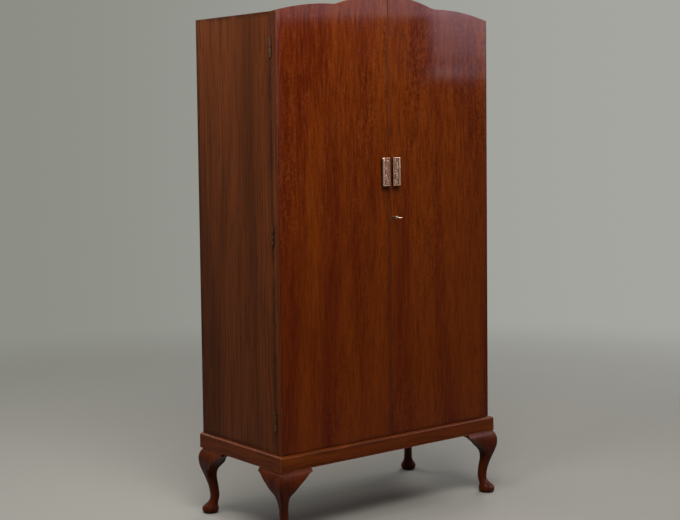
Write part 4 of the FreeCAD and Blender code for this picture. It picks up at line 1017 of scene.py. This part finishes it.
floor_radius = 9.0
fade_start = 1.3
fade_end = 4.6
seen_colour = tone(160, 158, 152)
bounce_colour = tone(88, 70, 54)
bpy.ops.object.select_all(action="DESELECT")
bpy.ops.mesh.primitive_circle_add(vertices=64, radius=floor_radius, fill_type="NGON", location=(0, 0, 0))
floor = bpy.context.object
floor.name = "floor"
floor_look, floor_net, floor_shader, floor_place = new_material("floor_paint")
floor_colour = blend_colours(floor_net, looked_at(floor_net), bounce_colour, seen_colour)
floor_net.links.new(floor_colour, floor_shader.inputs["Base Color"])
floor_shader.inputs["Roughness"].default_value = 0.7
floor_shader.inputs["Specular IOR Level"].default_value = 0.2
reach = add_node(floor_net, "ShaderNodeVectorMath", {0: floor_place}, operation="LENGTH").outputs["Value"]
floor_end = spread(floor_net, reach, fade_start, fade_end)
clear_look = add_node(floor_net, "ShaderNodeBsdfTransparent").outputs[0]
floor_mix = add_node(floor_net, "ShaderNodeMixShader", {0: floor_end, 1: floor_shader.outputs[0], 2: clear_look})
floor_net.links.new(floor_mix.outputs[0], floor_net.nodes["Material Output"].inputs["Surface"])
set_material(floor, floor_look)
print("floor fades out between", fade_start, "and", fade_end, "m")

# %% [markdown]
# The light is that of a studio: plain and soft. An even glow comes from the world. The camera, and the rays that
# glossy surfaces send out, see a pale grey backdrop instead, so the background and the reflections in the polish
# agree. The backdrop is palest on the right of the camera's view and dimmer all round behind it.

# %% World
world = bpy.data.worlds.new("studio")
world.use_nodes = True
bpy.context.scene.world = world
studio = world.node_tree
studio.nodes.clear()
heading = add_node(studio, "ShaderNodeTexCoord").outputs["Generated"]
rightward = parts_of(studio, heading)[0]
ahead = add_node(studio, "ShaderNodeVectorMath", {0: heading, 1: sight}, operation="DOT_PRODUCT").outputs["Value"]
backdrop = blend_colours(studio, spread(studio, rightward, 0.40, 0.80), tone(141, 142, 134), tone(166, 166, 161))
backdrop = blend_colours(studio, spread(studio, ahead, -0.5, 0.85), tone(124, 125, 121), backdrop)
seen = add_node(studio, "ShaderNodeBackground", {"Color": backdrop, "Strength": 1.0}).outputs[0]
ambient = add_node(studio, "ShaderNodeBackground", {"Color": (0.98, 0.98, 1.0, 1.0), "Strength": 0.14}).outputs[0]
sky = add_node(studio, "ShaderNodeMixShader", {0: looked_at(studio), 1: ambient, 2: seen}).outputs[0]
add_node(studio, "ShaderNodeOutputWorld", {"Surface": sky})
print("backdrop and glow set")

# %% [markdown]
# Two soft boxes overhead give the form its light, strongest at the top, and two more light the right side and the
# back. The others stand far to the right and only put reflections in the polish: a plum-coloured patch high on the
# right door, a pale bar under it, and a sheen along the tops of both doors. The patch is three boxes of the same
# width and falling height, so that its lower edge fades. A reflection in a flat door is seen where a ray from the
# camera, turned back by the door, meets the box, and that is how their places were found.

# %% Lamps
def soft_box(name, place, target, width, height, power, colour, only_reflected=False):
    lamp_data = bpy.data.lights.new(name, "AREA")
    lamp_data.shape = "RECTANGLE"
    lamp_data.size = width
    lamp_data.size_y = height
    lamp_data.energy = power
    lamp_data.color = colour
    lamp = bpy.data.objects.new(name, lamp_data)
    lamp.location = place
    lamp.rotation_euler = (Vector(target) - Vector(place)).to_track_quat("-Z", "Y").to_euler()
    lamp.visible_camera = False
    lamp.visible_diffuse = not only_reflected
    bpy.context.scene.collection.objects.link(lamp)
    print(name, power, "W")


soft_box("overhead_front", (-0.9, -1.8, 3.2), (0.0, 0.0, 1.5), 1.6, 1.1, 74.0, (1.0, 0.98, 0.94))
soft_box("overhead_side", (-1.6, -0.3, 3.0), (-0.5, 0.0, 1.5), 1.3, 0.9, 34.0, (1.0, 0.98, 0.96))
soft_box("fill_right", (2.7, 0.9, 2.6), (0.45, 0.1, 1.1), 1.8, 1.4, 34.0, (1.0, 0.99, 0.97))
soft_box("fill_back", (-0.6, 2.9, 2.6), (0.0, 0.2, 1.1), 1.8, 1.4, 30.0, (1.0, 0.99, 0.97))
patch_top = 3.89
for box_height, power in ((2.30, 53.0), (2.14, 42.0), (1.98, 33.0)):
    soft_box("reflected_patch", (4.28, -3.0, patch_top - box_height / 2), (0.93, -0.2, 1.4), 2.4, box_height, power,
             (1.0, 0.73, 0.86), True)
soft_box("reflected_bar", (3.016, -3.135, 1.653), (0.291, -0.211, 1.507), 0.30, 0.06, 0.12, (0.9, 0.9, 1.0), True)
soft_box("reflected_sheen", (2.515, -3.266, 2.16), (-0.04, -0.211, 1.75), 1.6, 0.34, 8.5, (0.92, 0.76, 0.94), True)
